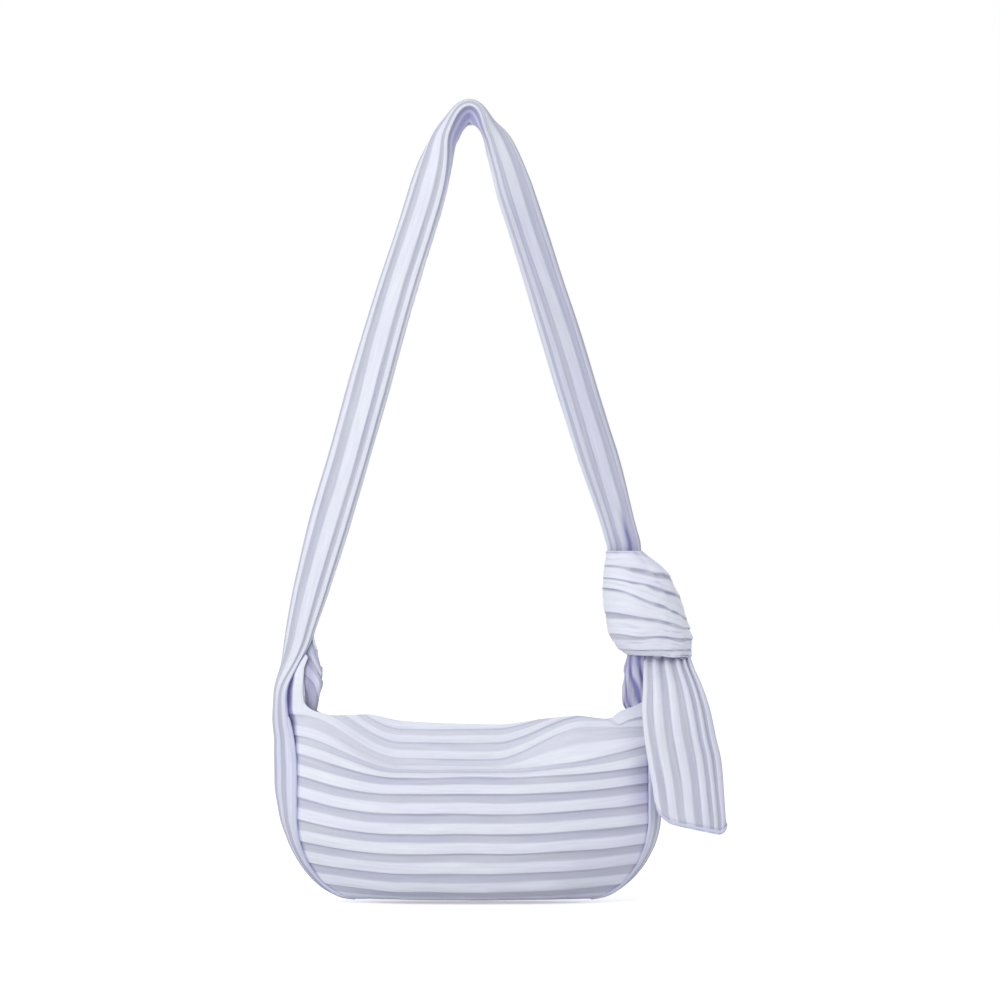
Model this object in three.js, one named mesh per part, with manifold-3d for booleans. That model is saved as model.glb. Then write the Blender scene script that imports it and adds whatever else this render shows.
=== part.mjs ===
import * as THREE from 'three';
import { mergeVertices } from 'three/addons/utils/BufferGeometryUtils.js';
import Module from 'manifold-3d';

// A small pleated shoulder bag that hangs by its knotted strap. Millimetres, +Z up, the front faces -Y.
// The origin is the point under the strap's arch that a hook or a shoulder carries.

// Cloth
const PLEAT_PITCH = 13.5;        // one light and one dark stripe, measured along the cloth
const PLEAT_RISE = 1.2;          // how far a pleat stands out of its valley
const CLOTH = 1.6;               // pleated cloth with its backing
const LINING = 0.9;
const LAYER_GAP = 0.4;           // between two layers that lie on each other
const LINING_GAP = 0.8;          // the lining hangs a little slack inside the panels
const SEAM_GAP = 0.4;            // between two pieces that are sewn edge to edge

// Where things hang
const HINGE_DROP = 366;          // hang point down to the line where the bag folds on its strap
const BAG_HANG = 157;            // that line down to the base
const BAG_SHIFT = 2;             // middle of the bag, right of the hang point

// Bag body
const SEAM_SPAN = 238;           // across the front, between the side seams
const MOUTH_HEIGHT = 119;        // base to the middle of the mouth
const MOUTH_RISE = 13;           // the mouth's corners above its middle
const CORNER_REACH = 43;         // rounded bottom corner, sideways
const CORNER_HEIGHT = 55;        // rounded bottom corner, upwards
const BASE_DEPTH = 20;           // flat strip that the bag sits on when it is set down
const BASE_END_RISE = 5;         // the ends of that strip curve up to the side seams
const BELLY_DEPTH = 68;          // front to back at the fullest height
const BELLY_HEIGHT = 40;
const MOUTH_DEPTH = 26;          // how far the lips stand apart
const TIP_DEPTH = 3;             // gusset width at its lower tip
const SIDE_DEPTH = 40;           // gusset width at half height
const SHOULDER_DEPTH = 26;       // gusset width beside the mouth
const LEFT_BULGE = 12.6;         // how far each gusset stands out of its seams
const RIGHT_BULGE = 6;
const FACING_HEIGHT = 27;        // hem band inside the mouth
const WELT = 2.8;                // thickness of the seam welts

// Fold line between strap and bag
const ROLL = 11;                 // diameter of the rolled cloth that the bag and the tail fold on
const FOLD_CLEARANCE = 0.35;
const SEAT_DEPTH = 3;            // the seats stop this far below the fold line
const LEFT_ROOT_WIDTH = 27;
const RIGHT_ROOT_WIDTH = 13.5;
const LEFT_ROOT_INSET = 2;       // middle of each root, inside the side seam
const RIGHT_ROOT_INSET = 10.5;
const NECK_DEPTH = 14;           // front to back where the gusset gathers into its root
const NECK_INSET = 0.45;         // the neck's foot, as shares of the gusset's bulge
const NECK_SPREAD = 0.65;

// Strap
const STRAP_WIDTH = 26;
const STRAP_THICK = 8;
const STRAP_WAIST = 20;          // drawn in above the left root
const WAIST_RISE = 20;           // the waist above the fold line
const KNOT_ENTRY = 17;           // gathered width where the strap goes into the knot
const ARCH_RISE = 8.5;           // middle of the cloth at the arch, above the hang point
const ARCH_HALF = 16.5;          // the arch's springing, sideways from the middle
const ARCH_SPRING = 5.4;         // the springing below the hang point
const LEG_TOP_HALF = 27;         // the legs at the top of their straight run
const LEG_TOP_DROP = 38;
const LEFT_FOOT_LEAN = 17;       // the left leg leans in by this over its first rise
const LEFT_FOOT_RISE = 85;
const RIGHT_FOOT_LEAN = 9;       // the right leg above the knot
const RIGHT_FOOT_RISE = 38;
const ENTRY_STRAIGHT = 8;        // straight run into the knot
const ARCH_TURN = THREE.MathUtils.degToRad(53);   // the cloth turns edge-on over the arch
const ARCH_TURN_REACH = 20;

// Knot
const KNOT_RISE = 6.5;           // knot's lower edge above the fold line
const KNOT_HEIGHT = 72.5;
const KNOT_WIDTH = 56;
const KNOT_DEPTH = 48;
const KNOT_LEAN = 25;            // the knot's lower end stands this far right of its top
const KNOT_ENTRY_INSET = 7;      // the strap goes in left of the right root
const KNOT_ROLL_LENGTH = 45;     // rolled edge under the knot
const KNOT_CLOTH = 1.6;
const KNOT_TURNS = 1.2;
const KNOT_RIDGES = 7;
const KNOT_PLEAT = 0.7;          // drawn tight, so flatter than the rest
const KNOT_THROAT = 4.4;         // front to back where the core comes out under the band

// Tail
const TAIL_DROP = 28;            // the tail's own fold line below the bag's
const TAIL_FORWARD = 27;         // and in front of it, clear of the gusset
const TAIL_ROLL = 8;
const TAIL_ROOT_WIDTH = 28;
const TAIL_ROOT_THICK = 8.4;
const TAIL_ROOT_END = 1.7;       // from the root's right edge to the end of the roll
const TAIL_FOLD_THICK = 5.6;
const TAIL_LEAN = 4;             // the fold's middle, right of the root's
const TAIL_SEAT_DEPTH = 3;
const TAIL_LENGTH = 80;          // fold line to the middle of the slanted end
const TAIL_SLANT = 10;           // the right end of the hem hangs lower by this
const TAIL_TOP_WIDTH = 42;
const TAIL_WIDTH = 49;           // at its widest
const TAIL_END_WIDTH = 41;
const TAIL_THICK = 7;
const TAIL_GATHER = 3;           // thicker by this at the fold
const TAIL_STAND_OFF = 3;        // hangs this far in front of its fold line
const TAIL_OUTWARD = 13.5;       // the hem's middle, right of the tail's top
const HEM_HEIGHT = 5;
const HEM_EXTRA = 1;             // the hem is thicker than the tail

const HINGE_Z = -HINGE_DROP;
const BASE_Z = HINGE_Z - BAG_HANG;
const LEFT_ROOT_X = BAG_SHIFT - SEAM_SPAN / 2 + LEFT_ROOT_INSET;
const RIGHT_ROOT_X = BAG_SHIFT + SEAM_SPAN / 2 - RIGHT_ROOT_INSET;
const KNOT_BOTTOM = HINGE_Z + KNOT_RISE;
const KNOT_TOP = KNOT_BOTTOM + KNOT_HEIGHT;
const FRONT = -1;
const BACK = 1;
const LEFT = -1;
const RIGHT = 1;

const { lerp, smoothstep } = THREE.MathUtils;
const wasm = await Module();
wasm.setup();

const bag = new THREE.Group();

/** Adds one sub-part with a cloth finish of its own. */
function addPiece(name, geometry, colour) {
  const material = new THREE.MeshStandardMaterial({ color: colour, roughness: 0.85, metalness: 0 });
  const mesh = new THREE.Mesh(geometry, material);
  mesh.name = name;
  bag.add(mesh);
}

/** Indexed geometry whose faces point outwards, from points and triangles that close a volume. */
function closedGeometry(points, triangles) {
  let volume = 0;
  for (let i = 0; i < triangles.length; i += 3) {
    const [a, b, c] = [points[triangles[i]], points[triangles[i + 1]], points[triangles[i + 2]]];
    volume += a.dot(new THREE.Vector3().crossVectors(b, c));
  }
  const geometry = new THREE.BufferGeometry().setFromPoints(points);
  geometry.setIndex(volume > 0 ? triangles : triangles.toReversed());
  return geometry;
}

/** Closed sheet between two grids of points, such as the outer and inner face of a panel. */
function sheetSolid(outer, inner) {
  const rows = outer.length;
  const columns = outer[0].length;
  const count = rows * columns;
  const at = (row, column) => row * columns + column;
  const triangles = [];
  const quad = (a, b, c, d) => triangles.push(a, b, c, a, c, d);
  for (let r = 0; r + 1 < rows; r++) {
    for (let c = 0; c + 1 < columns; c++) {
      const corners = [at(r, c), at(r, c + 1), at(r + 1, c + 1), at(r + 1, c)];
      quad(...corners);
      quad(...corners.map((corner) => corner + count).reverse());
    }
  }
  const rim = [];
  for (let c = 0; c < columns - 1; c++) rim.push(at(0, c));
  for (let r = 0; r < rows - 1; r++) rim.push(at(r, columns - 1));
  for (let c = columns - 1; c > 0; c--) rim.push(at(rows - 1, c));
  for (let r = rows - 1; r > 0; r--) rim.push(at(r, 0));
  rim.forEach((start, i) => {
    const end = rim[(i + 1) % rim.length];
    quad(end, start, start + count, end + count);
  });
  return closedGeometry([...outer.flat(), ...inner.flat()], triangles);
}

/** Closed loft through rings of points, with a fan at each end. */
function loftSolid(rings) {
  const sides = rings[0].length;
  const points = rings.flat();
  const triangles = [];
  for (let r = 0; r + 1 < rings.length; r++) {
    for (let k = 0; k < sides; k++) {
      const a = r * sides + k;
      const b = r * sides + ((k + 1) % sides);
      triangles.push(a, b, b + sides, a, b + sides, a + sides);
    }
  }
  const lastRing = (rings.length - 1) * sides;
  const startFan = points.length;
  const endFan = startFan + 1;
  for (const ring of [rings[0], rings.at(-1)]) {
    const middle = ring.reduce((sum, p) => sum.add(p), new THREE.Vector3()).divideScalar(sides);
    points.push(middle);
  }
  for (let k = 0; k < sides; k++) {
    const next = (k + 1) % sides;
    triangles.push(startFan, next, k, endFan, lastRing + k, lastRing + next);
  }
  return closedGeometry(points, triangles);
}

/** Flattened ring of pleated cloth: ribs stand out of every other point. */
function clothRing({ middle, wide, thin, halfWidth, halfThick, sides = 16, rise = PLEAT_RISE }) {
  return Array.from({ length: sides }, (_, k) => {
    const angle = (2 * Math.PI * k) / sides;
    const depth = (halfThick - (k % 2) * rise) * Math.sin(angle);
    return middle.clone()
      .addScaledVector(wide, halfWidth * Math.cos(angle))
      .addScaledVector(thin, depth);
  });
}

function toManifold(geometry) {
  const bare = geometry.clone();
  bare.deleteAttribute('normal');
  bare.deleteAttribute('uv');
  const merged = mergeVertices(bare, 1e-4);
  const mesh = new wasm.Mesh({
    numProp: 3,
    vertProperties: new Float32Array(merged.attributes.position.array),
    triVerts: new Uint32Array(merged.index.array),
  });
  return new wasm.Manifold(mesh);
}

function fromManifold(solid) {
  const mesh = solid.getMesh();
  const geometry = new THREE.BufferGeometry();
  geometry.setAttribute('position', new THREE.BufferAttribute(mesh.vertProperties, 3));
  geometry.setIndex(new THREE.BufferAttribute(mesh.triVerts, 1));
  return geometry;
}

const join = (a, b) => fromManifold(toManifold(a).add(toManifold(b)));
const cut = (a, b) => fromManifold(toManifold(a).subtract(toManifold(b)));

/** Rolled edge of cloth along X, the pin of a fold, or the cutter for its seat. */
function rollAlongX(diameter, left, right, y, z) {
  return new THREE.CylinderGeometry(diameter / 2, diameter / 2, right - left, 16)
    .rotateZ(Math.PI / 2)
    .translate((left + right) / 2, y, z);
}

// Half of a vertical cut through the bag's middle: x is the depth, y the height of a panel's inner face.
const baseStart = new THREE.Vector2(LAYER_GAP, CLOTH);
const baseEdge = new THREE.Vector2(BASE_DEPTH / 2, CLOTH);
const belly = new THREE.Vector2(BELLY_DEPTH / 2, BELLY_HEIGHT);
const lip = new THREE.Vector2(MOUTH_DEPTH / 2, MOUTH_HEIGHT);
const meridian = new THREE.CurvePath();
meridian.add(new THREE.LineCurve(baseStart, baseEdge));
meridian.add(new THREE.CubicBezierCurve(
  baseEdge,
  new THREE.Vector2(lerp(baseEdge.x, belly.x, 0.6), CLOTH),
  new THREE.Vector2(belly.x, lerp(CLOTH, belly.y, 0.4)),
  belly,
));
meridian.add(new THREE.CubicBezierCurve(
  belly,
  new THREE.Vector2(belly.x, lerp(belly.y, lip.y, 0.4)),
  new THREE.Vector2(lerp(lip.x, belly.x, 0.25), lerp(belly.y, lip.y, 0.7)),
  lip,
));

/** Half the panel's width at a height, with the rounded bottom corners. */
function outlineHalf(height) {
  const fall = 1 - Math.min((height - CLOTH) / CORNER_HEIGHT, 1);
  return SEAM_SPAN / 2 - CORNER_REACH * (1 - Math.sqrt(1 - fall * fall));
}

/** Half the gusset's width at a point of the cut. */
function seamDepth(depth, height, onBase) {
  if (onBase) return lerp(LAYER_GAP, TIP_DEPTH / 2, (depth - LAYER_GAP) / (baseEdge.x - LAYER_GAP));
  const full = lerp(TIP_DEPTH, SIDE_DEPTH, smoothstep(height, CLOTH, CORNER_HEIGHT));
  const shoulder = smoothstep(height, CORNER_HEIGHT, MOUTH_HEIGHT);
  return lerp(full, SHOULDER_DEPTH, shoulder) / 2;
}

const rowCount = 2 * Math.round(meridian.getLength() / PLEAT_PITCH);
const panelRows = Array.from({ length: rowCount + 1 }, (_, i) => {
  const share = i / rowCount;
  const { x: depth, y: height } = meridian.getPoint(share);
  const along = meridian.getTangent(share);
  const onBase = height <= CLOTH + 1e-6;
  return {
    depth,
    height,
    onBase,
    along: meridian.getLength() * share,
    out: new THREE.Vector2(onBase ? 0 : along.y, onBase ? -1 : -along.x),
    half: outlineHalf(height),
    seam: seamDepth(depth, height, onBase),
    ridge: onBase ? 0 : (i % 2) * PLEAT_RISE,
  };
});

/** Point of a panel: u runs from -1 at the left seam to 1 at the right, offset is from the inner face. */
function panelPoint(row, u, offset, face) {
  const fullness = 1 - Math.abs(u) ** 2.5;
  const up = row.height / MOUTH_HEIGHT;
  const baseEnd = BASE_END_RISE * smoothstep(Math.abs(u), 0.5, 1) * (1 - up);
  const rise = baseEnd + MOUTH_RISE * Math.abs(u) ** 4 * up ** 2;
  return new THREE.Vector3(
    BAG_SHIFT + u * row.half,
    face * (lerp(row.seam, row.depth, fullness) + offset * row.out.x),
    BASE_Z + row.height + rise + offset * row.out.y,
  );
}

/** Sheet that follows a panel between two offsets, over some rows and a share of the width. */
function panelSheet(face, rows, reach, innerOffset, outerOffset) {
  const columns = 12;
  const shares = Array.from({ length: columns + 1 }, (_, c) => reach * ((2 * c) / columns - 1));
  const rowAt = (row, offset) => shares.map((u) => panelPoint(row, u, offset, face));
  const outer = rows.map((row) => rowAt(row, outerOffset + row.ridge));
  const inner = rows.map((row) => rowAt(row, innerOffset));
  return sheetSolid(outer, inner);
}

function panel(face) {
  return panelSheet(face, panelRows, 1, 0, CLOTH);
}

const facingStart = panelRows.findIndex((row) => row.along > meridian.getLength() - FACING_HEIGHT);
const insideReach = 1 - (4 * CLOTH) / SEAM_SPAN;   // inside layers stop two cloths short of each seam

/** Flat layer inside a panel. */
function innerLayer(face, rows, thickness) {
  const flatRows = rows.map((row) => ({ ...row, ridge: 0 }));
  return panelSheet(face, flatRows, insideReach, -LINING_GAP - thickness, -LINING_GAP);
}

function lining(face) {
  return innerLayer(face, panelRows.slice(0, facingStart), LINING);
}

function facing(face) {
  return innerLayer(face, panelRows.slice(facingStart), CLOTH);
}

const seamRows = panelRows.filter((row) => !row.onBase);

/** Outward direction of the bag's outline at a seam row, in the front plane. */
function outlineNormal(i, side) {
  const before = panelPoint(seamRows[Math.max(i - 1, 0)], side, 0, FRONT);
  const after = panelPoint(seamRows[Math.min(i + 1, seamRows.length - 1)], side, 0, FRONT);
  return new THREE.Vector3(after.z - before.z, 0, before.x - after.x).multiplyScalar(side).normalize();
}

/** Gusset strip between the front and back seam, with lengthwise pleats. */
function gussetStrip(side, bulge) {
  const ribs = 8;
  const grid = (thickness) => seamRows.map((row, i) => {
    const out = outlineNormal(i, side);
    const swell = bulge * smoothstep(row.height, CLOTH, CORNER_HEIGHT);
    const half = row.seam - SEAM_GAP;
    const rib = PLEAT_RISE * smoothstep(row.height, CLOTH, CORNER_HEIGHT);
    return Array.from({ length: ribs + 1 }, (_, k) => {
      const t = (2 * k) / ribs - 1;
      const edge = panelPoint(row, side, 0, FRONT);
      const lift = thickness === 0 ? 0 : thickness + (k % 2) * rib;
      const slope = new THREE.Vector2(half, 2 * swell * t).normalize();
      edge.y = half * t + lift * slope.y;
      return edge.addScaledVector(out, SEAM_GAP + swell * (1 - t * t) + lift * slope.x);
    });
  });
  return sheetSolid(grid(CLOTH), grid(0));
}

/** Gathered neck from inside the gusset up to its seat under the roll. */
function gussetNeck(side, bulge, rootX, rootWidth) {
  const shoulderZ = BASE_Z + MOUTH_HEIGHT;
  const seatZ = HINGE_Z - SEAT_DEPTH;
  const footX = BAG_SHIFT + side * (SEAM_SPAN / 2 + bulge * NECK_INSET);
  const stationCount = 5;
  const rings = Array.from({ length: stationCount }, (_, i) => {
    const rise = i / (stationCount - 1);
    const eased = smoothstep(rise, 0, 1);
    return clothRing({
      middle: new THREE.Vector3(lerp(footX, rootX, eased), 0, lerp(shoulderZ, seatZ, rise)),
      wide: new THREE.Vector3(1, 0, 0),
      thin: new THREE.Vector3(0, 1, 0),
      halfWidth: lerp(bulge * NECK_SPREAD, rootWidth / 2, eased),
      halfThick: NECK_DEPTH / 2,
      rise: PLEAT_RISE * (1 - rise),
    });
  });
  return loftSolid(rings);
}

function gusset(side, bulge, rootX, rootWidth) {
  const whole = join(gussetStrip(side, bulge), gussetNeck(side, bulge, rootX, rootWidth));
  const seat = rollAlongX(ROLL + 2 * FOLD_CLEARANCE, rootX - rootWidth, rootX + rootWidth, 0, HINGE_Z);
  return cut(whole, seat);
}

/** Round welt along the outside of one seam. */
function welt(side, face) {
  const points = seamRows.map((row, i) => {
    const edge = panelPoint(row, side, CLOTH + PLEAT_RISE, face);
    return edge.addScaledVector(outlineNormal(i, side), WELT / 2 + SEAM_GAP);
  });
  const path = new THREE.CatmullRomCurve3(points);
  const section = new THREE.Shape().absarc(0, 0, WELT / 2, 0, 2 * Math.PI);
  return new THREE.ExtrudeGeometry(section, { steps: 24, curveSegments: 3, extrudePath: path });
}

// Strap: one pleated strip from the left root over the arch to the knot.
const arch = new THREE.Vector3(0, 0, ARCH_RISE);
const knotEntryX = RIGHT_ROOT_X - KNOT_ENTRY_INSET;
const strapPath = new THREE.CatmullRomCurve3([
  new THREE.Vector3(LEFT_ROOT_X, 0, HINGE_Z),
  new THREE.Vector3(LEFT_ROOT_X, 0, HINGE_Z + WAIST_RISE),
  new THREE.Vector3(LEFT_ROOT_X + LEFT_FOOT_LEAN, 0, HINGE_Z + LEFT_FOOT_RISE),
  new THREE.Vector3(-LEG_TOP_HALF, 0, -LEG_TOP_DROP),
  new THREE.Vector3(-ARCH_HALF, 0, -ARCH_SPRING),
  arch,
  new THREE.Vector3(ARCH_HALF, 0, -ARCH_SPRING),
  new THREE.Vector3(LEG_TOP_HALF, 0, -LEG_TOP_DROP),
  new THREE.Vector3(knotEntryX - RIGHT_FOOT_LEAN, 0, KNOT_TOP + RIGHT_FOOT_RISE),
  new THREE.Vector3(knotEntryX, 0, KNOT_TOP + ENTRY_STRAIGHT),
  new THREE.Vector3(knotEntryX, 0, KNOT_TOP + LAYER_GAP),
]);

function strapHalfWidth(point) {
  const aboveHinge = point.z - HINGE_Z;
  if (point.x < 0) {
    const waist = lerp(LEFT_ROOT_WIDTH, STRAP_WAIST, smoothstep(aboveHinge, 0, WAIST_RISE));
    return lerp(waist, STRAP_WIDTH, smoothstep(aboveHinge, WAIST_RISE, 4 * WAIST_RISE)) / 2;
  }
  return lerp(KNOT_ENTRY, STRAP_WIDTH, smoothstep(point.z, KNOT_TOP, KNOT_TOP + STRAP_WIDTH)) / 2;
}

function longStrap() {
  const stations = 40;
  const rings = Array.from({ length: stations + 1 }, (_, i) => {
    const share = i / stations;
    const middle = strapPath.getPoint(share);
    const along = strapPath.getTangent(share);
    const outward = new THREE.Vector3(-along.z, 0, along.x);
    const turn = ARCH_TURN * Math.exp(-((middle.distanceTo(arch) / ARCH_TURN_REACH) ** 2));
    const wide = outward.multiplyScalar(Math.cos(turn)).add(new THREE.Vector3(0, -Math.sin(turn), 0));
    const thin = new THREE.Vector3().crossVectors(along, wide);
    return clothRing({
      middle, wide, thin, halfWidth: strapHalfWidth(middle), halfThick: STRAP_THICK / 2,
    });
  });
  const root = rollAlongX(
    ROLL, LEFT_ROOT_X - LEFT_ROOT_WIDTH / 2, LEFT_ROOT_X + LEFT_ROOT_WIDTH / 2, 0, HINGE_Z,
  );
  return join(loftSolid(rings), root);
}

// Knot outline from top to bottom, as shares of its height, lean, half width and half depth.
const KNOT_OUTLINE = [
  [0.0, 0.0, 0.46, 0.4],
  [0.15, 0.22, 0.69, 0.62],
  [0.27, 0.34, 0.81, 0.83],
  [0.47, 0.48, 0.93, 1.0],
  [0.65, 0.6, 0.99, 1.0],
  [0.8, 0.7, 1.0, 0.87],
  [0.9, 0.8, 0.93, 0.62],
  [1.0, 1.0, 0.75, 0.31],
];
const knotCurve = (column, size) => new THREE.SplineCurve(
  KNOT_OUTLINE.map((shares) => new THREE.Vector2(shares[0], shares[column] * size)),
);
const knotLean = knotCurve(1, KNOT_LEAN);
const knotHalfWidth = knotCurve(2, KNOT_WIDTH / 2);
const knotHalfDepth = knotCurve(3, KNOT_DEPTH / 2);

/** Point of a level ring round the knot, held inside its outline by an inset. */
function knotPoint(share, angle, inset) {
  const { x: fall, y: lean } = knotLean.getPoint(share);
  const halfWidth = knotHalfWidth.getPoint(share).y - inset;
  const halfDepth = knotHalfDepth.getPoint(share).y - inset;
  return new THREE.Vector3(
    knotEntryX + lean + halfWidth * Math.cos(angle),
    halfDepth * Math.sin(angle),
    lerp(KNOT_TOP, KNOT_BOTTOM, fall),
  );
}

/** Band wound round the core in a spiral, so that its end lies over its start. */
function knotBand() {
  const rowsOfKnot = 2 * KNOT_RIDGES;
  const steps = 34;
  const pitch = KNOT_CLOTH + LAYER_GAP;
  const grid = (inset) => Array.from({ length: rowsOfKnot + 1 }, (_, r) => (
    Array.from({ length: steps + 1 }, (_unused, s) => {
      const turned = (KNOT_TURNS * s) / steps;
      const wound = pitch * (KNOT_TURNS - turned);
      const ridge = (1 - (r % 2)) * KNOT_PLEAT;
      return knotPoint(r / rowsOfKnot, 2 * Math.PI * turned, wound + inset + ridge);
    })
  ));
  return sheetSolid(grid(0), grid(KNOT_CLOTH));
}

const ROLL_LEFT = RIGHT_ROOT_X - RIGHT_ROOT_WIDTH / 2;
const ROLL_RIGHT = ROLL_LEFT + KNOT_ROLL_LENGTH;

/** Gathered cloth inside the band, with the roll that the tie and the tail hang from. */
function knotCore() {
  const inset = (KNOT_CLOTH + LAYER_GAP) * KNOT_TURNS + KNOT_CLOTH + LAYER_GAP + KNOT_PLEAT;
  const shares = [0, 0.15, 0.3, 0.5, 0.7, 0.85, 0.93, 1];
  const sides = 16;
  const rings = shares.map((share) => (
    Array.from({ length: sides }, (_, k) => knotPoint(share, (2 * Math.PI * k) / sides, inset))
  ));
  rings.push(clothRing({
    middle: new THREE.Vector3((ROLL_LEFT + ROLL_RIGHT) / 2, 0, HINGE_Z),
    wide: new THREE.Vector3(1, 0, 0),
    thin: new THREE.Vector3(0, 1, 0),
    halfWidth: (KNOT_ROLL_LENGTH - ROLL) / 2,
    halfThick: KNOT_THROAT / 2,
    sides,
    rise: 0,
  }));
  return join(loftSolid(rings), rollAlongX(ROLL, ROLL_LEFT, ROLL_RIGHT, 0, HINGE_Z));
}

// Tail: hangs from the roll, comes forward over the gusset and folds there.
const TAIL_ROOT_X = ROLL_RIGHT - TAIL_ROOT_END - TAIL_ROOT_WIDTH / 2;
const TAIL_TOP_X = TAIL_ROOT_X + TAIL_LEAN;
const TAIL_FOLD = new THREE.Vector3(TAIL_TOP_X, -TAIL_FORWARD, HINGE_Z - TAIL_DROP);

/** Roll of the tail's own fold, or the cutter for its seat. */
function tailRoll(diameter, reach) {
  return rollAlongX(diameter, TAIL_TOP_X - reach, TAIL_TOP_X + reach, TAIL_FOLD.y, TAIL_FOLD.z);
}

function tailRoot() {
  const onRoute = (sideways, forward, drop) => new THREE.Vector3(
    lerp(TAIL_ROOT_X, TAIL_TOP_X, sideways), -TAIL_FORWARD * forward, HINGE_Z - TAIL_DROP * drop,
  );
  const route = new THREE.CatmullRomCurve3([
    onRoute(0, 0.07, SEAT_DEPTH / TAIL_DROP),
    onRoute(0.3, 0.55, 0.42),
    onRoute(0.7, 0.92, 0.72),
    TAIL_FOLD,
  ]);
  const stations = 8;
  const across = new THREE.Vector3(1, 0, 0);
  const rings = Array.from({ length: stations + 1 }, (_, i) => {
    const share = i / stations;
    return clothRing({
      middle: route.getPoint(share),
      wide: across,
      thin: new THREE.Vector3().crossVectors(route.getTangent(share), across),
      halfWidth: lerp(TAIL_ROOT_WIDTH, TAIL_TOP_WIDTH, share) / 2,
      halfThick: lerp(TAIL_ROOT_THICK, TAIL_FOLD_THICK, share) / 2,
      rise: PLEAT_RISE / 2,
    });
  });
  const seat = rollAlongX(ROLL + 2 * FOLD_CLEARANCE, ROLL_LEFT, 2 * ROLL_RIGHT, 0, HINGE_Z);
  return join(cut(loftSolid(rings), seat), tailRoll(TAIL_ROLL, TAIL_TOP_WIDTH / 2));
}

/** Ring of the tail at a share of its length, slanted towards the hem. */
function tailRing(share, drop, extraThick = 0) {
  const width = share < 0.45
    ? lerp(TAIL_TOP_WIDTH, TAIL_WIDTH, smoothstep(share, 0, 0.45))
    : lerp(TAIL_WIDTH, TAIL_END_WIDTH, smoothstep(share, 0.45, 1.1));
  const middle = TAIL_FOLD.clone();
  middle.x += TAIL_OUTWARD * share;
  middle.y -= TAIL_STAND_OFF * smoothstep(share, 0, 0.5);
  middle.z -= drop;
  const ring = clothRing({
    middle,
    wide: new THREE.Vector3(1, 0, 0),
    thin: new THREE.Vector3(0, 1, 0),
    halfWidth: width / 2,
    halfThick: (TAIL_THICK + TAIL_GATHER * (1 - share) + extraThick) / 2,
    sides: 20,
  });
  for (const point of ring) {
    point.z -= (TAIL_SLANT * share * (point.x - middle.x)) / width;
  }
  return ring;
}

function tail() {
  const bodyLength = TAIL_LENGTH - HEM_HEIGHT - SEAM_GAP;
  const rings = [];
  const stations = 8;
  for (let i = 0; i <= stations; i++) {
    const drop = lerp(TAIL_SEAT_DEPTH, bodyLength, i / stations);
    rings.push(tailRing(drop / TAIL_LENGTH, drop));
  }
  return cut(loftSolid(rings), tailRoll(TAIL_ROLL + 2 * FOLD_CLEARANCE, TAIL_TOP_WIDTH));
}

function tailHem() {
  const start = TAIL_LENGTH - HEM_HEIGHT;
  const rings = [start, TAIL_LENGTH].map((drop) => tailRing(drop / TAIL_LENGTH, drop, HEM_EXTRA));
  return loftSolid(rings);
}

const PLEATED = 0xd3d6e6;
const SHADED = 0xc3c7de;
const PLAIN = 0xe2e3ee;

addPiece('front_panel', panel(FRONT), PLEATED);
addPiece('back_panel', panel(BACK), PLEATED);
addPiece('left_gusset', gusset(LEFT, LEFT_BULGE, LEFT_ROOT_X, LEFT_ROOT_WIDTH), PLEATED);
addPiece('right_gusset', gusset(RIGHT, RIGHT_BULGE, RIGHT_ROOT_X, RIGHT_ROOT_WIDTH), PLEATED);
addPiece('front_left_welt', welt(LEFT, FRONT), SHADED);
addPiece('front_right_welt', welt(RIGHT, FRONT), SHADED);
addPiece('back_left_welt', welt(LEFT, BACK), SHADED);
addPiece('back_right_welt', welt(RIGHT, BACK), SHADED);
addPiece('front_facing', facing(FRONT), PLEATED);
addPiece('back_facing', facing(BACK), PLEATED);
addPiece('front_lining', lining(FRONT), PLAIN);
addPiece('back_lining', lining(BACK), PLAIN);
addPiece('long_strap', longStrap(), PLEATED);
addPiece('knot_band', knotBand(), PLEATED);
addPiece('knot_core', knotCore(), SHADED);
addPiece('tail_root', tailRoot(), SHADED);
addPiece('tail', tail(), PLEATED);
addPiece('tail_hem', tailHem(), SHADED);

export default bag;
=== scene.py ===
"""Looks of the pleated knot bag: cloth shells with real pleats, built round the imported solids."""

import logging
import math
from dataclasses import dataclass, field
from enum import Enum
from typing import Callable, NamedTuple

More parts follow.
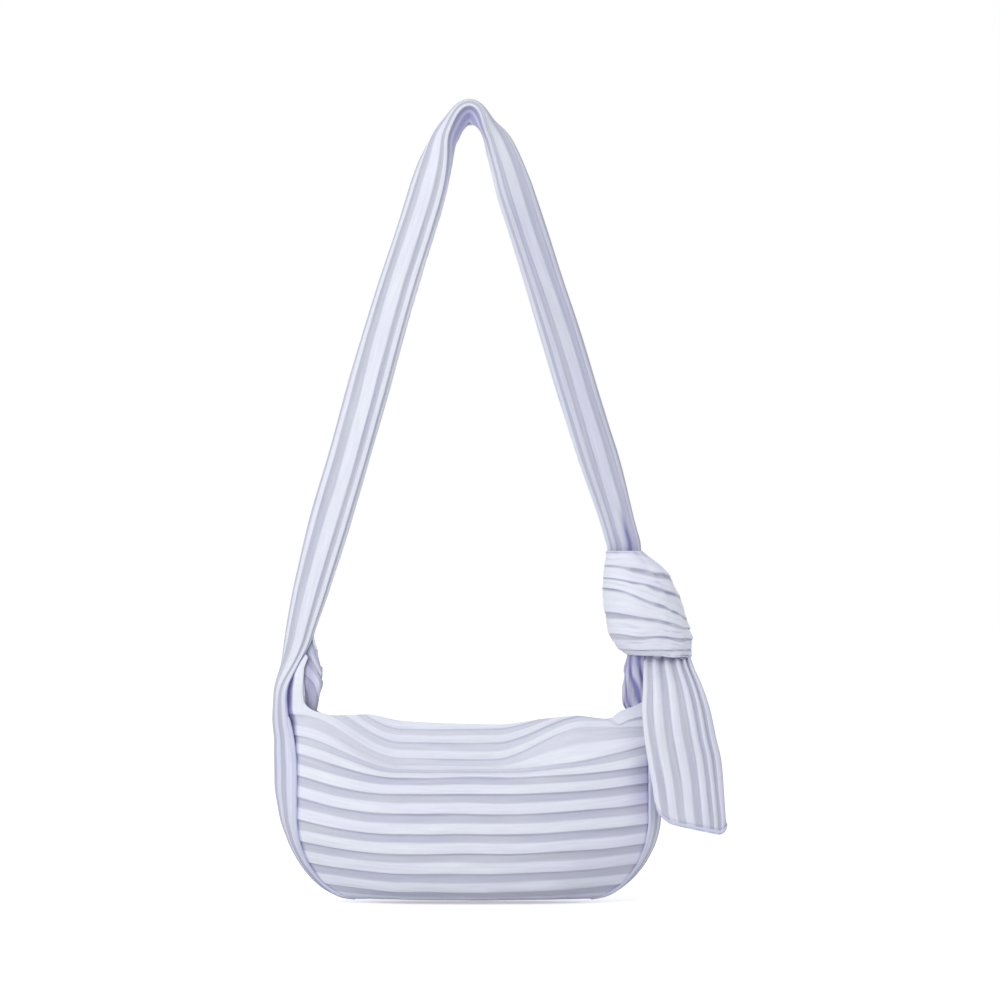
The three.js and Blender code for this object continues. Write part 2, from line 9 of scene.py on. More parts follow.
import bmesh
import bpy
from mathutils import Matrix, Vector, noise
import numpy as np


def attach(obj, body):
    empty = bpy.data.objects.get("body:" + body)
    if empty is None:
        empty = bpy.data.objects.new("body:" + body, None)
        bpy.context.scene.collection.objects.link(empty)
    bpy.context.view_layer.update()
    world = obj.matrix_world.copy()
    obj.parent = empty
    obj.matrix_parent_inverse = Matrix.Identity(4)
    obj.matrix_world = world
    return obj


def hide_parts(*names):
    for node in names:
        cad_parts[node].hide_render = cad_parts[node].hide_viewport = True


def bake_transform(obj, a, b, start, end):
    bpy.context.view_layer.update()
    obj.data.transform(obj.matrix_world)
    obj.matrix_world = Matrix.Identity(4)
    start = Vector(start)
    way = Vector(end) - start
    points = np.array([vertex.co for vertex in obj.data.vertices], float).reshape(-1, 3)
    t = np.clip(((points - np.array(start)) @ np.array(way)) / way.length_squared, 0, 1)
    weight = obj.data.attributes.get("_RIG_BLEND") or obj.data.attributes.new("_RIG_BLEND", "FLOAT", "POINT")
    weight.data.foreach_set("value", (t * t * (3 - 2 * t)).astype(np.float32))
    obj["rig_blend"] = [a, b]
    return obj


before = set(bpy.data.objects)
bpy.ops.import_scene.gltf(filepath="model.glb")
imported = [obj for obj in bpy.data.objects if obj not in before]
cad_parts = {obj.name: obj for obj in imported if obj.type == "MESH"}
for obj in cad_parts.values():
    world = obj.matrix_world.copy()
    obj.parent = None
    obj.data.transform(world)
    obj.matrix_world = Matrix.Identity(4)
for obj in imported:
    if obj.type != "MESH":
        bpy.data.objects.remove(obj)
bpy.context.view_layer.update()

LOG = logging.getLogger("knot_bag")

# Lengths below are in millimetres, in the frame of the solids
MM = 0.001
# One stripe repeat, and the thickness of the cloth
PITCH = 13.5
CLOTH = 1.2
# Height of the bag's base
BASE_Z = -523.0
# Where a pleat's free edge lies, in stripe repeats below the middle of its white stripe
LIP = 0.265
# How far the bag's middle lies right of the hang point, and half of a panel's width between its seams
BAG_SHIFT = 2.0
SEAM_HALF = 119.0

# Where the cloth starts and ends to bend, in metres: from the strap to the bag, under the knot,
# and at the tail's fold
BAG_BEND = ((0.0, 0.0, -0.346), (0.0, 0.0, -0.386))
ROOT_BEND = ((0.0, 0.0, -0.35), (0.0, 0.0, -0.381))
TAIL_BEND = ((0.0, 0.0, -0.387), (0.0, 0.0, -0.405))

Colour = tuple[float, float, float, float]
Line = tuple[tuple[float, float], ...]


class Side(Enum):
    """The bag's two ends."""

    LEFT = -1
    RIGHT = 1


class Face(Enum):
    """The bag's two broad faces."""

    FRONT = -1
    BACK = 1


class Slot(Enum):
    """The bag's three cloths, by the name of their material."""

    STRIPED = "striped_cloth"
    SEAM = "seam_cloth"
    LINING = "lining_cloth"


def lerp(low: float, high: float, share: float) -> float:
    """Value at a share of the way from low to high."""
    return low + (high - low) * share


def smooth(low: float, high: float, value: float) -> float:
    """Share from 0 at low to 1 at high, level at both ends."""
    share = min(max((value - low) / (high - low), 0.0), 1.0)
    return share * share * (3.0 - 2.0 * share)


def bump(centre: float, reach: float, value: float) -> float:
    """Soft hump of height 1 at the centre, near 0 beyond its reach."""
    return math.exp(-(((value - centre) / reach) ** 2))


def wander(x: float, y: float, seed: int) -> float:
    """Slow irregular wave between about -1 and 1, the same on each run."""
    return noise.noise(Vector((x, y, 7.31 * seed)))


def wave_power(value: float, power: float) -> float:
    """Value raised to a power with its sign kept, which flattens or sharpens a cosine."""
    return math.copysign(abs(value) ** power, value)


def knife(stripe: float, step: float) -> float:
    """Height of a knife pleat from -0.5 to 0.5.

    Args:
        stripe: stripe count, whole at the middle of a white stripe.
        step: share of a repeat over which the free edge drops.

    Returns:
        The height, which rises slowly to the free edge below each white stripe and drops there.
    """
    share = (stripe + LIP) % 1.0
    return 0.5 - share + smooth(1.0 - step, 1.0, share)


def towards_lip(stripe: float, draw: float) -> float:
    """Stripe count drawn closer to the nearest free edge of a pleat, for finer grid rows there."""
    return stripe - draw / math.tau * math.sin(math.tau * (stripe + LIP))


def towards_ends(share: float) -> float:
    """Share from -1 to 1 with its steps drawn together at both ends."""
    return lerp(share, math.sin(0.5 * math.pi * share), 0.75)


class Curve:
    """Smooth line through a few points that never overshoots them."""

    def __init__(self, *points: tuple[float, float]) -> None:
        """Takes the points.

        Args:
            points: (position, value) pairs in rising order of position.
        """
        self.at = [float(point[0]) for point in points]
        self.value = [float(point[1]) for point in points]
        self.slope = self._slopes()

    def _slopes(self) -> list[float]:
        """Finds how steep the line is at its points.

        Returns:
            The slope at each point, level where the values turn.
        """
        count = len(self.at)
        chords = [
            (self.value[i + 1] - self.value[i]) / (self.at[i + 1] - self.at[i])
            for i in range(count - 1)
        ]
        slopes = [chords[0]]
        for i in range(1, count - 1):
            before, after = chords[i - 1], chords[i]
            level = before * after <= 0.0
            slopes.append(0.0 if level else 2.0 * before * after / (before + after))
        slopes.append(chords[-1])
        return slopes

    def __call__(self, position: float) -> float:
        """Reads the line.

        Args:
            position: where to read it.

        Returns:
            The value there, straight on beyond the ends.
        """
        at, value, slope = self.at, self.value, self.slope
        if position <= at[0]:
            return value[0] + slope[0] * (position - at[0])
        if position >= at[-1]:
            return value[-1] + slope[-1] * (position - at[-1])
        i = 0
        while position > at[i + 1]:
            i += 1
        span = at[i + 1] - at[i]
        t = (position - at[i]) / span
        rise = (value[i + 1] - value[i]) / span
        bend_in = slope[i] - rise
        bend_out = rise - slope[i + 1]
        return lerp(value[i], value[i + 1], t) + span * t * (1 - t) * (bend_in * (1 - t) + bend_out * t)


def linear(red: int, green: int, blue: int) -> Colour:
    """Turns a display colour into the linear one that a shader takes.

    Args:
        red: red from 0 to 255.
        green: green from 0 to 255.
        blue: blue from 0 to 255.

    Returns:
        The linear colour, opaque.
    """

    def channel(value: int) -> float:
        """One channel, by the display curve."""
        share = value / 255.0
        return share / 12.92 if share <= 0.04045 else ((share + 0.055) / 1.055) ** 2.4

    return (channel(red), channel(green), channel(blue), 1.0)


class Grain(NamedTuple):
    """Settings of an irregular texture on the cloth.

    Attributes:
        across: how much finer it is across the stripes.
        along: how much finer it is along them, below 1 where it is drawn out.
        scale: scale of the texture.
        detail: levels of finer detail in it.
    """

    across: float
    along: float
    scale: float
    detail: float


class Nodes:
    """Shorthand for adding and linking shader nodes in one tree."""

    def __init__(self, tree: bpy.types.NodeTree) -> None:
        """Takes the tree that the nodes go in."""
        self.tree = tree

    def add(self, kind: str, **settings: object) -> bpy.types.Node:
        """Adds a node.

        Args:
            kind: the node's type.
            settings: values of its properties.

        Returns:
            The node.
        """
        node = self.tree.nodes.new(kind)
        for name, value in settings.items():
            setattr(node, name, value)
        return node

    def feed(self, socket: bpy.types.NodeSocket, value: object) -> None:
        """Links a socket to another one, or sets it to a plain value.

        Args:
            socket: the input.
            value: an output or a plain value.
        """
        if isinstance(value, bpy.types.NodeSocket):
            self.tree.links.new(value, socket)
        else:
            socket.default_value = value

    def placed(self, node: bpy.types.Node, values: dict[object, object]) -> bpy.types.Node:
        """Feeds a node's inputs.

        Args:
            node: the node.
            values: what goes into each input, by its name or number.

        Returns:
            The node.
        """
        for key, value in values.items():
            self.feed(node.inputs[key], value)
        return node

    def math(self, operation: str, *values: object) -> bpy.types.NodeSocket:
        """Result of a math node."""
        node = self.add("ShaderNodeMath", operation=operation)
        return self.placed(node, dict(enumerate(values))).outputs[0]

    def times(self, value: object, factor: object) -> bpy.types.NodeSocket:
        """Product of two values."""
        return self.math("MULTIPLY", value, factor)

    def vector(self, x: object, y: object, z: object = 0.0) -> bpy.types.NodeSocket:
        """Vector from three values."""
        return self.placed(self.add("ShaderNodeCombineXYZ"), {0: x, 1: y, 2: z}).outputs[0]

    def split(self, vector: object) -> tuple[bpy.types.NodeSocket, bpy.types.NodeSocket]:
        """First two parts of a vector."""
        parts = self.placed(self.add("ShaderNodeSeparateXYZ"), {0: vector}).outputs
        return parts[0], parts[1]

    def ramp(self, value: object, low: object, high: object) -> bpy.types.NodeSocket:
        """Smooth share of a value between two limits."""
        node = self.add("ShaderNodeMapRange", interpolation_type="SMOOTHSTEP")
        return self.placed(node, {"Value": value, "From Min": low, "From Max": high}).outputs["Result"]

    def grain(
        self, place: object, across: object, along: object, scale: object, detail: object,
    ) -> bpy.types.NodeSocket:
        """Adds an irregular texture.

        Args:
            place: place on the cloth.
            across: how much finer it is across the stripes.
            along: how much finer it is along them.
            scale: scale of the texture.
            detail: levels of finer detail in it.

        Returns:
            Its value there.
        """
        first, second = self.split(place)
        drawn = self.vector(self.times(first, across), self.times(second, along))
        values = {"Vector": drawn, "Scale": scale, "Detail": detail}
        return self.placed(self.add("ShaderNodeTexNoise"), values).outputs["Fac"]

    def mix(self, share: object, first: object, second: object, blend: str = "MIX") -> bpy.types.NodeSocket:
        """Mix of two colours."""
        node = self.add("ShaderNodeMix", data_type="RGBA", blend_type=blend)
        return self.placed(node, {0: share, 6: first, 7: second}).outputs[2]

    def group(self, tree: bpy.types.NodeTree, values: dict[object, object]) -> bpy.types.NodeOutputs:
        """Outputs of a group placed with its own values."""
        return self.placed(self.add("ShaderNodeGroup", node_tree=tree), values).outputs

    def relief(self, height: object, strength: float, distance: float) -> bpy.types.NodeSocket:
        """Normal bent by a height."""
        values = {"Strength": strength, "Distance": distance, "Height": height}
        return self.placed(self.add("ShaderNodeBump"), values).outputs["Normal"]


def new_group(name: str, inputs: dict[str, str], outputs: dict[str, str]) -> bpy.types.NodeTree:
    """Makes an empty shader group.

    Args:
        name: name of the group.
        inputs: socket kind by name.
        outputs: socket kind by name.

    Returns:
        The group with its two end nodes.
    """
    group = bpy.data.node_groups.new(name, "ShaderNodeTree")
    for label, kind in inputs.items():
        group.interface.new_socket(label, in_out="INPUT", socket_type=f"NodeSocket{kind}")
    for label, kind in outputs.items():
        group.interface.new_socket(label, in_out="OUTPUT", socket_type=f"NodeSocket{kind}")
    group.nodes.new("NodeGroupInput")
    group.nodes.new("NodeGroupOutput")
    return group


class SharedGroups:
    """Shader groups that every cloth uses, built once."""

    def __init__(self) -> None:
        """Builds the groups."""
        self.tone_drift = self._tone_drift()
        self.weave = self._weave()
        self.painted_fold_shade = self._painted_fold_shade()

    def _tone_drift(self) -> bpy.types.NodeTree:
        """Builds the slow drift between two tones.

        Returns:
            A group that gives the share of the second tone at a place on the cloth.
        """
        inputs = {"Place": "Vector", "Across": "Float", "Along": "Float", "Scale": "Float", "Detail": "Float"}
        limits = {"Low": "Float", "High": "Float"}
        group = new_group("tone_drift", inputs | limits, {"Tone": "Float"})
        nodes = Nodes(group)
        given = group.nodes["Group Input"].outputs
        value = nodes.grain(*(given[name] for name in inputs))
        tone = nodes.ramp(value, *(given[name] for name in limits))
        nodes.feed(group.nodes["Group Output"].inputs["Tone"], tone)
        return group

    def _weave(self) -> bpy.types.NodeTree:
        """Builds the plain weave.

        Returns:
            A group that gives the weave's height at a place on the cloth.
        """
        group = new_group("weave", {"Place": "Vector", "Threads": "Float"}, {"Height": "Float"})
        nodes = Nodes(group)
        given = group.nodes["Group Input"].outputs
        across, along = nodes.split(given["Place"])
        turns = nodes.times(given["Threads"], math.tau)
        warp = nodes.math("SINE", nodes.times(across, turns))
        weft = nodes.math("SINE", nodes.times(along, turns))
        nodes.feed(group.nodes["Group Output"].inputs["Height"], nodes.times(warp, weft))
        return group

    def _painted_fold_shade(self) -> bpy.types.NodeTree:
        """Builds the painted shade of deep folds.

        Returns:
            A group that multiplies a colour by a painted shade colour, by the cloth's shade.
        """
        inputs = {"Color": "Color", "Tint": "Color", "Shade": "Float"}
        group = new_group("painted_fold_shade", inputs, {"Color": "Color"})
        nodes = Nodes(group)
        given = group.nodes["Group Input"].outputs
        # Painted shade: the colour is darkened towards a violet shade colour as far as the shade attribute
        # says
        deep = nodes.math("MAXIMUM", given["Shade"], 0.0)
        shaded = nodes.mix(1.0, given["Color"], given["Tint"], "MULTIPLY")
        nodes.feed(group.nodes["Group Output"].inputs["Color"], nodes.mix(deep, given["Color"], shaded))
        return group


class BlankCloth:
    """A new cloth material with the place and the shade that its pieces carry."""

    def __init__(self, slot: Slot) -> None:
        """Starts the material.

        Args:
            slot: the slot that it is for.
        """
        self.finish = bpy.data.materials.new(slot.value)
        self.finish.use_nodes = True
        self.nodes = Nodes(self.finish.node_tree)
        self.skin = self.finish.node_tree.nodes["Principled BSDF"]
        self.place = self.nodes.add("ShaderNodeUVMap", uv_map="cloth").outputs["UV"]
        self.shade = self.nodes.add("ShaderNodeAttribute", attribute_name="shade").outputs["Fac"]

    def tone(self, groups: SharedGroups, grain: Grain, limits: tuple[float, float]) -> bpy.types.NodeSocket:
        """Places the drift between two tones.

        Args:
            groups: the groups that the cloths share.
            grain: texture by which the tones drift.
            limits: limits of its value between them.

        Returns:
            Share of the second tone.
        """
        values = {
            "Place": self.place, "Across": grain.across, "Along": grain.along,
            "Scale": grain.scale, "Detail": grain.detail, "Low": limits[0], "High": limits[1],
        }
        return self.nodes.group(groups.tone_drift, values)["Tone"]


@dataclass(frozen=True)
class PleatedCloth:
    """Soft satin cloth with pressed pleats, in white and lilac stripes.

    Attributes:
        slot: the cloth's slot.
        white: colour of the raised stripes.
        warm_white: second tone that drifts through them.
        lilac: colour of the stripes between.
        cool_lilac: second tone that drifts through those.
        tint: painted shade colour, which the colour is multiplied by deep in a fold.
        crease_shadow: painted shadow colour, which the colour is multiplied by right under a pleat's free
            edge.
        lilac_share: share of a repeat that is lilac.
        edge: softness of the stripes' edges, as a share of half a repeat.
        waver: how far the stripes wander, in repeats.
        streaks: how much the fine lines along the stripes lighten or darken them.
        streak_height: height of those lines against the weave.
        tone_grain: texture by which the two tones drift.
        tone_limits: limits of its value between the two tones.
        streak_grain: texture of the fine lines.
        waver_grain: texture by which the stripes wander.
        press_grain: texture of how firmly the pleats are pressed, which darkens their painted shadow.
        press_limits: limits of its value between soft and crisp.
        pale_soft: how much fainter the painted shadow under the free edges is where the stripes fade.
        crease_shadow_limits: shares of the way up to the next free edge between which the painted shadow
            deepens.
        count_from: whole number that keeps the stripe counts above 0.
        threads: threads in one stripe repeat.
        weave_height: height of the weave in millimetres.
        weave_strength: strength of the weave.
        satin: roughness of the raised stripes.
        matt: roughness of the stripes between.
        sheen: weight of the cloth's sheen.
        sheen_rough: roughness of the sheen.
        specular: level of its gloss.
    """

    slot: Slot = Slot.STRIPED
    white: Colour = linear(230, 231, 243)
    warm_white: Colour = linear(230, 234, 240)
    lilac: Colour = linear(203, 205, 214)
    cool_lilac: Colour = linear(198, 200, 215)
    # Painted shade: the violet that deep folds are darkened towards
    tint: Colour = (0.30, 0.28, 0.56, 1.0)
    # Painted shadow: the colour right under a pleat's free edge
    crease_shadow: Colour = (0.80, 0.80, 0.87, 1.0)
    lilac_share: float = 0.47
    edge: float = 0.13
    waver: float = 0.10
    streaks: float = 0.26
    streak_height: float = 2.0
    tone_grain: Grain = Grain(1.0, 0.16, 0.9, 2.0)
    tone_limits: tuple[float, float] = (0.38, 0.62)
    streak_grain: Grain = Grain(6.0, 0.3, 1.6, 3.0)
    waver_grain: Grain = Grain(1.0, 0.35, 1.0, 1.0)
    press_grain: Grain = Grain(1.0, 0.2, 1.3, 1.0)
    press_limits: tuple[float, float] = (0.25, 0.7)
    pale_soft: float = 1.7
    crease_shadow_limits: tuple[float, float] = (0.82, 0.995)
    count_from: float = 100.0
    threads: float = 30.0
    weave_height: float = 0.05
    weave_strength: float = 0.6
    satin: float = 0.46
    matt: float = 0.6
    sheen: float = 0.2
    sheen_rough: float = 0.4
    specular: float = 0.3

    def material(self, groups: SharedGroups) -> bpy.types.Material:
        """Builds the material from its stripes, the painted fold shade and the weave.

        Args:
            groups: the groups that the cloths share.

        Returns:
            The material.
        """
        cloth = BlankCloth(self.slot)
        nodes = cloth.nodes
        tone = cloth.tone(groups, self.tone_grain, self.tone_limits)
        stripes = nodes.group(self._stripe_group(), {
            "Place": cloth.place, "Shade": cloth.shade, "Tone": tone,
        })
        colour = nodes.group(groups.painted_fold_shade, {
            "Color": stripes["Color"], "Tint": self.tint, "Shade": cloth.shade,
        })["Color"]
        weave = nodes.group(groups.weave, {"Place": cloth.place, "Threads": self.threads})["Height"]
        height = nodes.math("ADD", weave, nodes.times(stripes["Streak"], self.streak_height))
        nodes.placed(cloth.skin, {
            "Base Color": colour,
            "Roughness": stripes["Roughness"],
            "Normal": nodes.relief(height, self.weave_strength, self.weave_height * MM),
            "Sheen Weight": self.sheen,
            "Sheen Roughness": self.sheen_rough,
            "Specular IOR Level": self.specular,
        })
        return cloth.finish

    def _stripe_group(self) -> bpy.types.NodeTree:
        """Builds the stripes.

        Returns:
            A group that turns a place on the cloth into its colour, its roughness and its fine streaks.
        """
        group = new_group(
            f"{self.slot.value}_stripes",
            {"Place": "Vector", "Shade": "Float", "Tone": "Float"},
            {"Color": "Color", "Roughness": "Float", "Streak": "Float"},
        )
        nodes = Nodes(group)
        given = group.nodes["Group Input"].outputs
        across, _ = nodes.split(given["Place"])
        streak = nodes.grain(given["Place"], *self.streak_grain)
        waver = nodes.grain(given["Place"], *self.waver_grain)
        wavering = nodes.times(nodes.math("SUBTRACT", waver, 0.5), self.waver)
        place = nodes.math("ADD", nodes.math("ADD", across, self.count_from), wavering)
        from_lilac = nodes.math("ABSOLUTE", nodes.math("SUBTRACT", nodes.math("FRACT", place), 0.5))
        edges = (self.lilac_share - self.edge, self.lilac_share + self.edge)
        raised = nodes.ramp(nodes.times(from_lilac, 2.0), *edges)
        white = nodes.mix(given["Tone"], self.white, self.warm_white)
        lilac = nodes.mix(given["Tone"], self.lilac, self.cool_lilac)
        pale = nodes.math("MAXIMUM", nodes.times(given["Shade"], -1.0), 0.0)
        colour = nodes.mix(nodes.math("MAXIMUM", raised, pale), lilac, white)
        lines = nodes.math("ADD", 1.0 - 0.5 * self.streaks, nodes.times(streak, self.streaks))
        colour = nodes.mix(1.0, colour, nodes.vector(lines, lines, lines), "MULTIPLY")
        # Painted shadow: a dark line right under each pleat's free edge, varied by how firmly it is pressed
        pressed = nodes.ramp(nodes.grain(given["Place"], *self.press_grain), *self.press_limits)
        crisp = nodes.math("SUBTRACT", pressed, nodes.times(pale, self.pale_soft))
        to_lip = nodes.math("FRACT", nodes.math("ADD", place, LIP))
        near_lip = nodes.ramp(to_lip, *self.crease_shadow_limits)
        crease_shadow = nodes.times(near_lip, nodes.math("MAXIMUM", crisp, 0.0))
        colour = nodes.mix(crease_shadow, colour, nodes.mix(1.0, colour, self.crease_shadow, "MULTIPLY"))
        rough = nodes.math("ADD", self.matt, nodes.times(raised, self.satin - self.matt))
        result = group.nodes["Group Output"]
        nodes.placed(result, {"Color": colour, "Roughness": rough, "Streak": streak})
        return group


@dataclass(frozen=True)
class PlainCloth:
    """Thin matt cloth in one colour, for the lining and the tight seams.

    Attributes:
        slot: the cloth's slot.
        colour: its colour.
        second: second tone that drifts through it.
        tint: painted shade colour, which the colour is multiplied by deep in a fold.
        tone_grain: texture by which the two tones drift.
        tone_limits: limits of its value between the two tones.
        threads: threads in one stripe repeat.
        weave_height: height of the weave in millimetres.
        weave_strength: strength of the weave.
        rough: its roughness.
        sheen: weight of its sheen.
        specular: level of its gloss.
    """

    slot: Slot
    colour: Colour
    second: Colour
    # Painted shade: the violet that deep folds are darkened towards
    tint: Colour = (0.5, 0.52, 0.72, 1.0)
    tone_grain: Grain = Grain(1.0, 1.0, 1.1, 3.0)
    tone_limits: tuple[float, float] = (0.35, 0.65)
    threads: float = 24.0
    weave_height: float = 0.05
    weave_strength: float = 0.5
    rough: float = 0.62
    sheen: float = 0.2
    specular: float = 0.25

    def material(self, groups: SharedGroups) -> bpy.types.Material:
        """Builds the material from its drifting tones, the painted fold shade and the weave.

        Args:
            groups: the groups that the cloths share.

        Returns:
            The material.
        """
        cloth = BlankCloth(self.slot)
        nodes = cloth.nodes
        tone = cloth.tone(groups, self.tone_grain, self.tone_limits)
        colour = nodes.group(groups.painted_fold_shade, {
            "Color": nodes.mix(tone, self.colour, self.second), "Tint": self.tint, "Shade": cloth.shade,
        })["Color"]
        weave = nodes.group(groups.weave, {"Place": cloth.place, "Threads": self.threads})["Height"]
        nodes.placed(cloth.skin, {
            "Base Color": colour,
            "Roughness": self.rough,
            "Normal": nodes.relief(weave, self.weave_strength, self.weave_height * MM),
            "Sheen Weight": self.sheen,
            "Specular IOR Level": self.specular,
        })
        return cloth.finish


class Finishes:
    """The materials that the pieces share."""

    def __init__(self) -> None:
        """Builds the shared groups and a material for each slot."""
        groups = SharedGroups()
        cloths = (
            PleatedCloth(),
            PlainCloth(Slot.SEAM, linear(214, 218, 235), linear(205, 209, 230)),
            PlainCloth(Slot.LINING, linear(222, 223, 234), linear(214, 216, 230)),
        )
        self.by_slot = {cloth.slot: cloth.material(groups) for cloth in cloths}


class Spot(NamedTuple):
    """One point of a cloth.

    Attributes:
        place: where it lies, in millimetres.
        stripe: stripe count across the cloth, whole numbers at white stripes.
        run: length along the stripe, in stripe repeats.
        relief: height over the surface, in millimetres.
        shade: share of the painted fold shade, 0 to 1, and below 0 how far the stripes fade to white.
    """

    place: Vector
    stripe: float
    run: float
    relief: float = 0.0
    shade: float = 0.0


@dataclass
class ClothPatch:
    """A cloth made from a grid, each point placed by a formula.

    Attributes:
        name: name of the piece.
        stands_for: the solids that it takes the place of.
        columns: grid steps across.
        rows: grid steps along.
        spot: gives the cloth's point for grid places from -1 to 1.
        slot: the cloth that it is made of.
        thickness: cloth thickness in millimetres, inwards from the surface.
        tube: whether columns that meet at the two ends are joined.
        flip: whether the grid runs the other way, so that its faces are turned.
        rim: whether the cut edges are closed, which two pieces that meet edge to edge leave open.
        weld: how close points are, in metres, to be joined in a tube.
    """

    name: str
    stands_for: tuple[str, ...]
    columns: int
    rows: int
    spot: Callable[[float, float], Spot]
    slot: Slot = Slot.STRIPED
    thickness: float = CLOTH
    tube: bool = False
    flip: bool = False
    rim: bool = True
    weld: float = 0.00002

    def build(self, finishes: Finishes) -> bpy.types.Object:
        """Makes the piece.

        Args:
            finishes: the materials.

        Returns:
            The finished object, at the origin.
        """
        grid = bmesh.new()
        bmesh.ops.create_grid(grid, x_segments=self.columns, y_segments=self.rows, size=1.0)
        self._place(grid)
        if self.tube:
            bmesh.ops.remove_doubles(grid, verts=grid.verts, dist=self.weld)
        if self.flip:
            bmesh.ops.reverse_faces(grid, faces=grid.faces)
        grid.normal_update()
        relief = grid.verts.layers.float["relief"]
        for vert in grid.verts:
            vert.co = vert.co + vert.normal * (vert[relief] * MM)
        for face in grid.faces:
            face.smooth = True
        mesh = bpy.data.meshes.new(self.name)
        grid.to_mesh(mesh)
        grid.free()
        return self._finish(mesh, finishes)

    def _place(self, grid: bmesh.types.BMesh) -> None:
        """Moves each grid point to its spot and keeps its stripe place, relief and painted shade.

        Args:
            grid: the flat grid.
        """
        relief = grid.verts.layers.float.new("relief")
        # Painted shade: each point's share of the fold shade, which the materials read
        shade = grid.verts.layers.float.new("shade")
        cloth = grid.loops.layers.uv.new("cloth")
        stripes: dict[bmesh.types.BMVert, tuple[float, float]] = {}
        for vert in grid.verts:
            spot = self.spot(vert.co.x, vert.co.y)
            vert.co = spot.place * MM
            vert[relief] = spot.relief
            vert[shade] = min(max(spot.shade, -1.0), 1.0)
            stripes[vert] = (spot.stripe, spot.run)
        for face in grid.faces:
            for loop in face.loops:
                loop[cloth].uv = stripes[loop.vert]

    def _finish(self, mesh: bpy.types.Mesh, finishes: Finishes) -> bpy.types.Object:
        """Gives the mesh its object, material and cloth thickness, in the place of its solids.

        Args:
            mesh: the shaped cloth.
            finishes: the materials.

        Returns:
            The object.
        """
        piece = bpy.data.objects.new(self.name, mesh)
        bpy.context.scene.collection.objects.link(piece)
        mesh.materials.append(finishes.by_slot[self.slot])
        if self.thickness > 0.0:
            layer = piece.modifiers.new("cloth", "SOLIDIFY")
            layer.thickness = self.thickness * MM
            layer.offset = -1.0
            layer.use_rim = self.rim
        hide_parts(*self.stands_for)
        return piece


@dataclass(frozen=True)
class Outline:
    """The seam line between a panel and the gussets, by height over the base.

    Attributes:
        corner_reach: how far the round lower corner takes the seam in.
        corner_height: height of that round.
        lift: how far the seam leans out under the strap's root at the left.
        lift_at: height where it leans out most.
        lift_below: how far down that lean reaches.
        lift_above: how far up it reaches.
        neck_in: how far it leans in under the tie at the right.
        tip_depth: half of the gusset's depth at the base.
        belly_depth: half of it at the belly.
        mouth_depth: half of it under the mouth.
        root_gather: how much less that is at the strap's root.
        tie_gather: how much less it is at the tie.
    """

    corner_reach: float = 43.0
    corner_height: float = 57.0
    lift: float = 6.5
    lift_at: float = 136.0
    lift_below: float = 26.0
    lift_above: float = 20.0
    neck_in: float = 6.5
    tip_depth: float = 0.5
    belly_depth: float = 20.0
    mouth_depth: float = 12.0
    root_gather: float = 5.0
    tie_gather: float = 6.0

    def half(self, height: float) -> float:
        """Half of the panel's width at a height."""
        fall = 1.0 - min(max(height / self.corner_height, 0.0), 1.0)
        return SEAM_HALF - self.corner_reach * (1.0 - math.sqrt(1.0 - fall * fall))

    def edge_x(self, side: Side, height: float) -> float:
        """Finds the seam across the bag.

        Args:
            side: end of the bag.
            height: height over the base.

        Returns:
            Where the seam lies.
        """
        if side is Side.LEFT:
            reach = self.lift_below if height < self.lift_at else self.lift_above
            lean = self.lift * bump(self.lift_at, reach, height)
        else:
            lean = -self.neck_in * smooth(112.0, 136.0, height)
        return BAG_SHIFT + side.value * (self.half(height) + lean)

    def depth(self, side: Side, height: float) -> float:
        """Finds how deep a gusset is.

        Args:
            side: end of the bag.
            height: height over the base.

        Returns:
            Half of its depth.
        """
        low = lerp(self.tip_depth, self.belly_depth, smooth(0.0, 55.0, height))
        body = lerp(low, self.mouth_depth, smooth(60.0, 124.0, height))
        if side is Side.LEFT:
            return body - self.root_gather * smooth(128.0, 160.0, height)
        return body - self.tie_gather * smooth(104.0, 128.0, height)


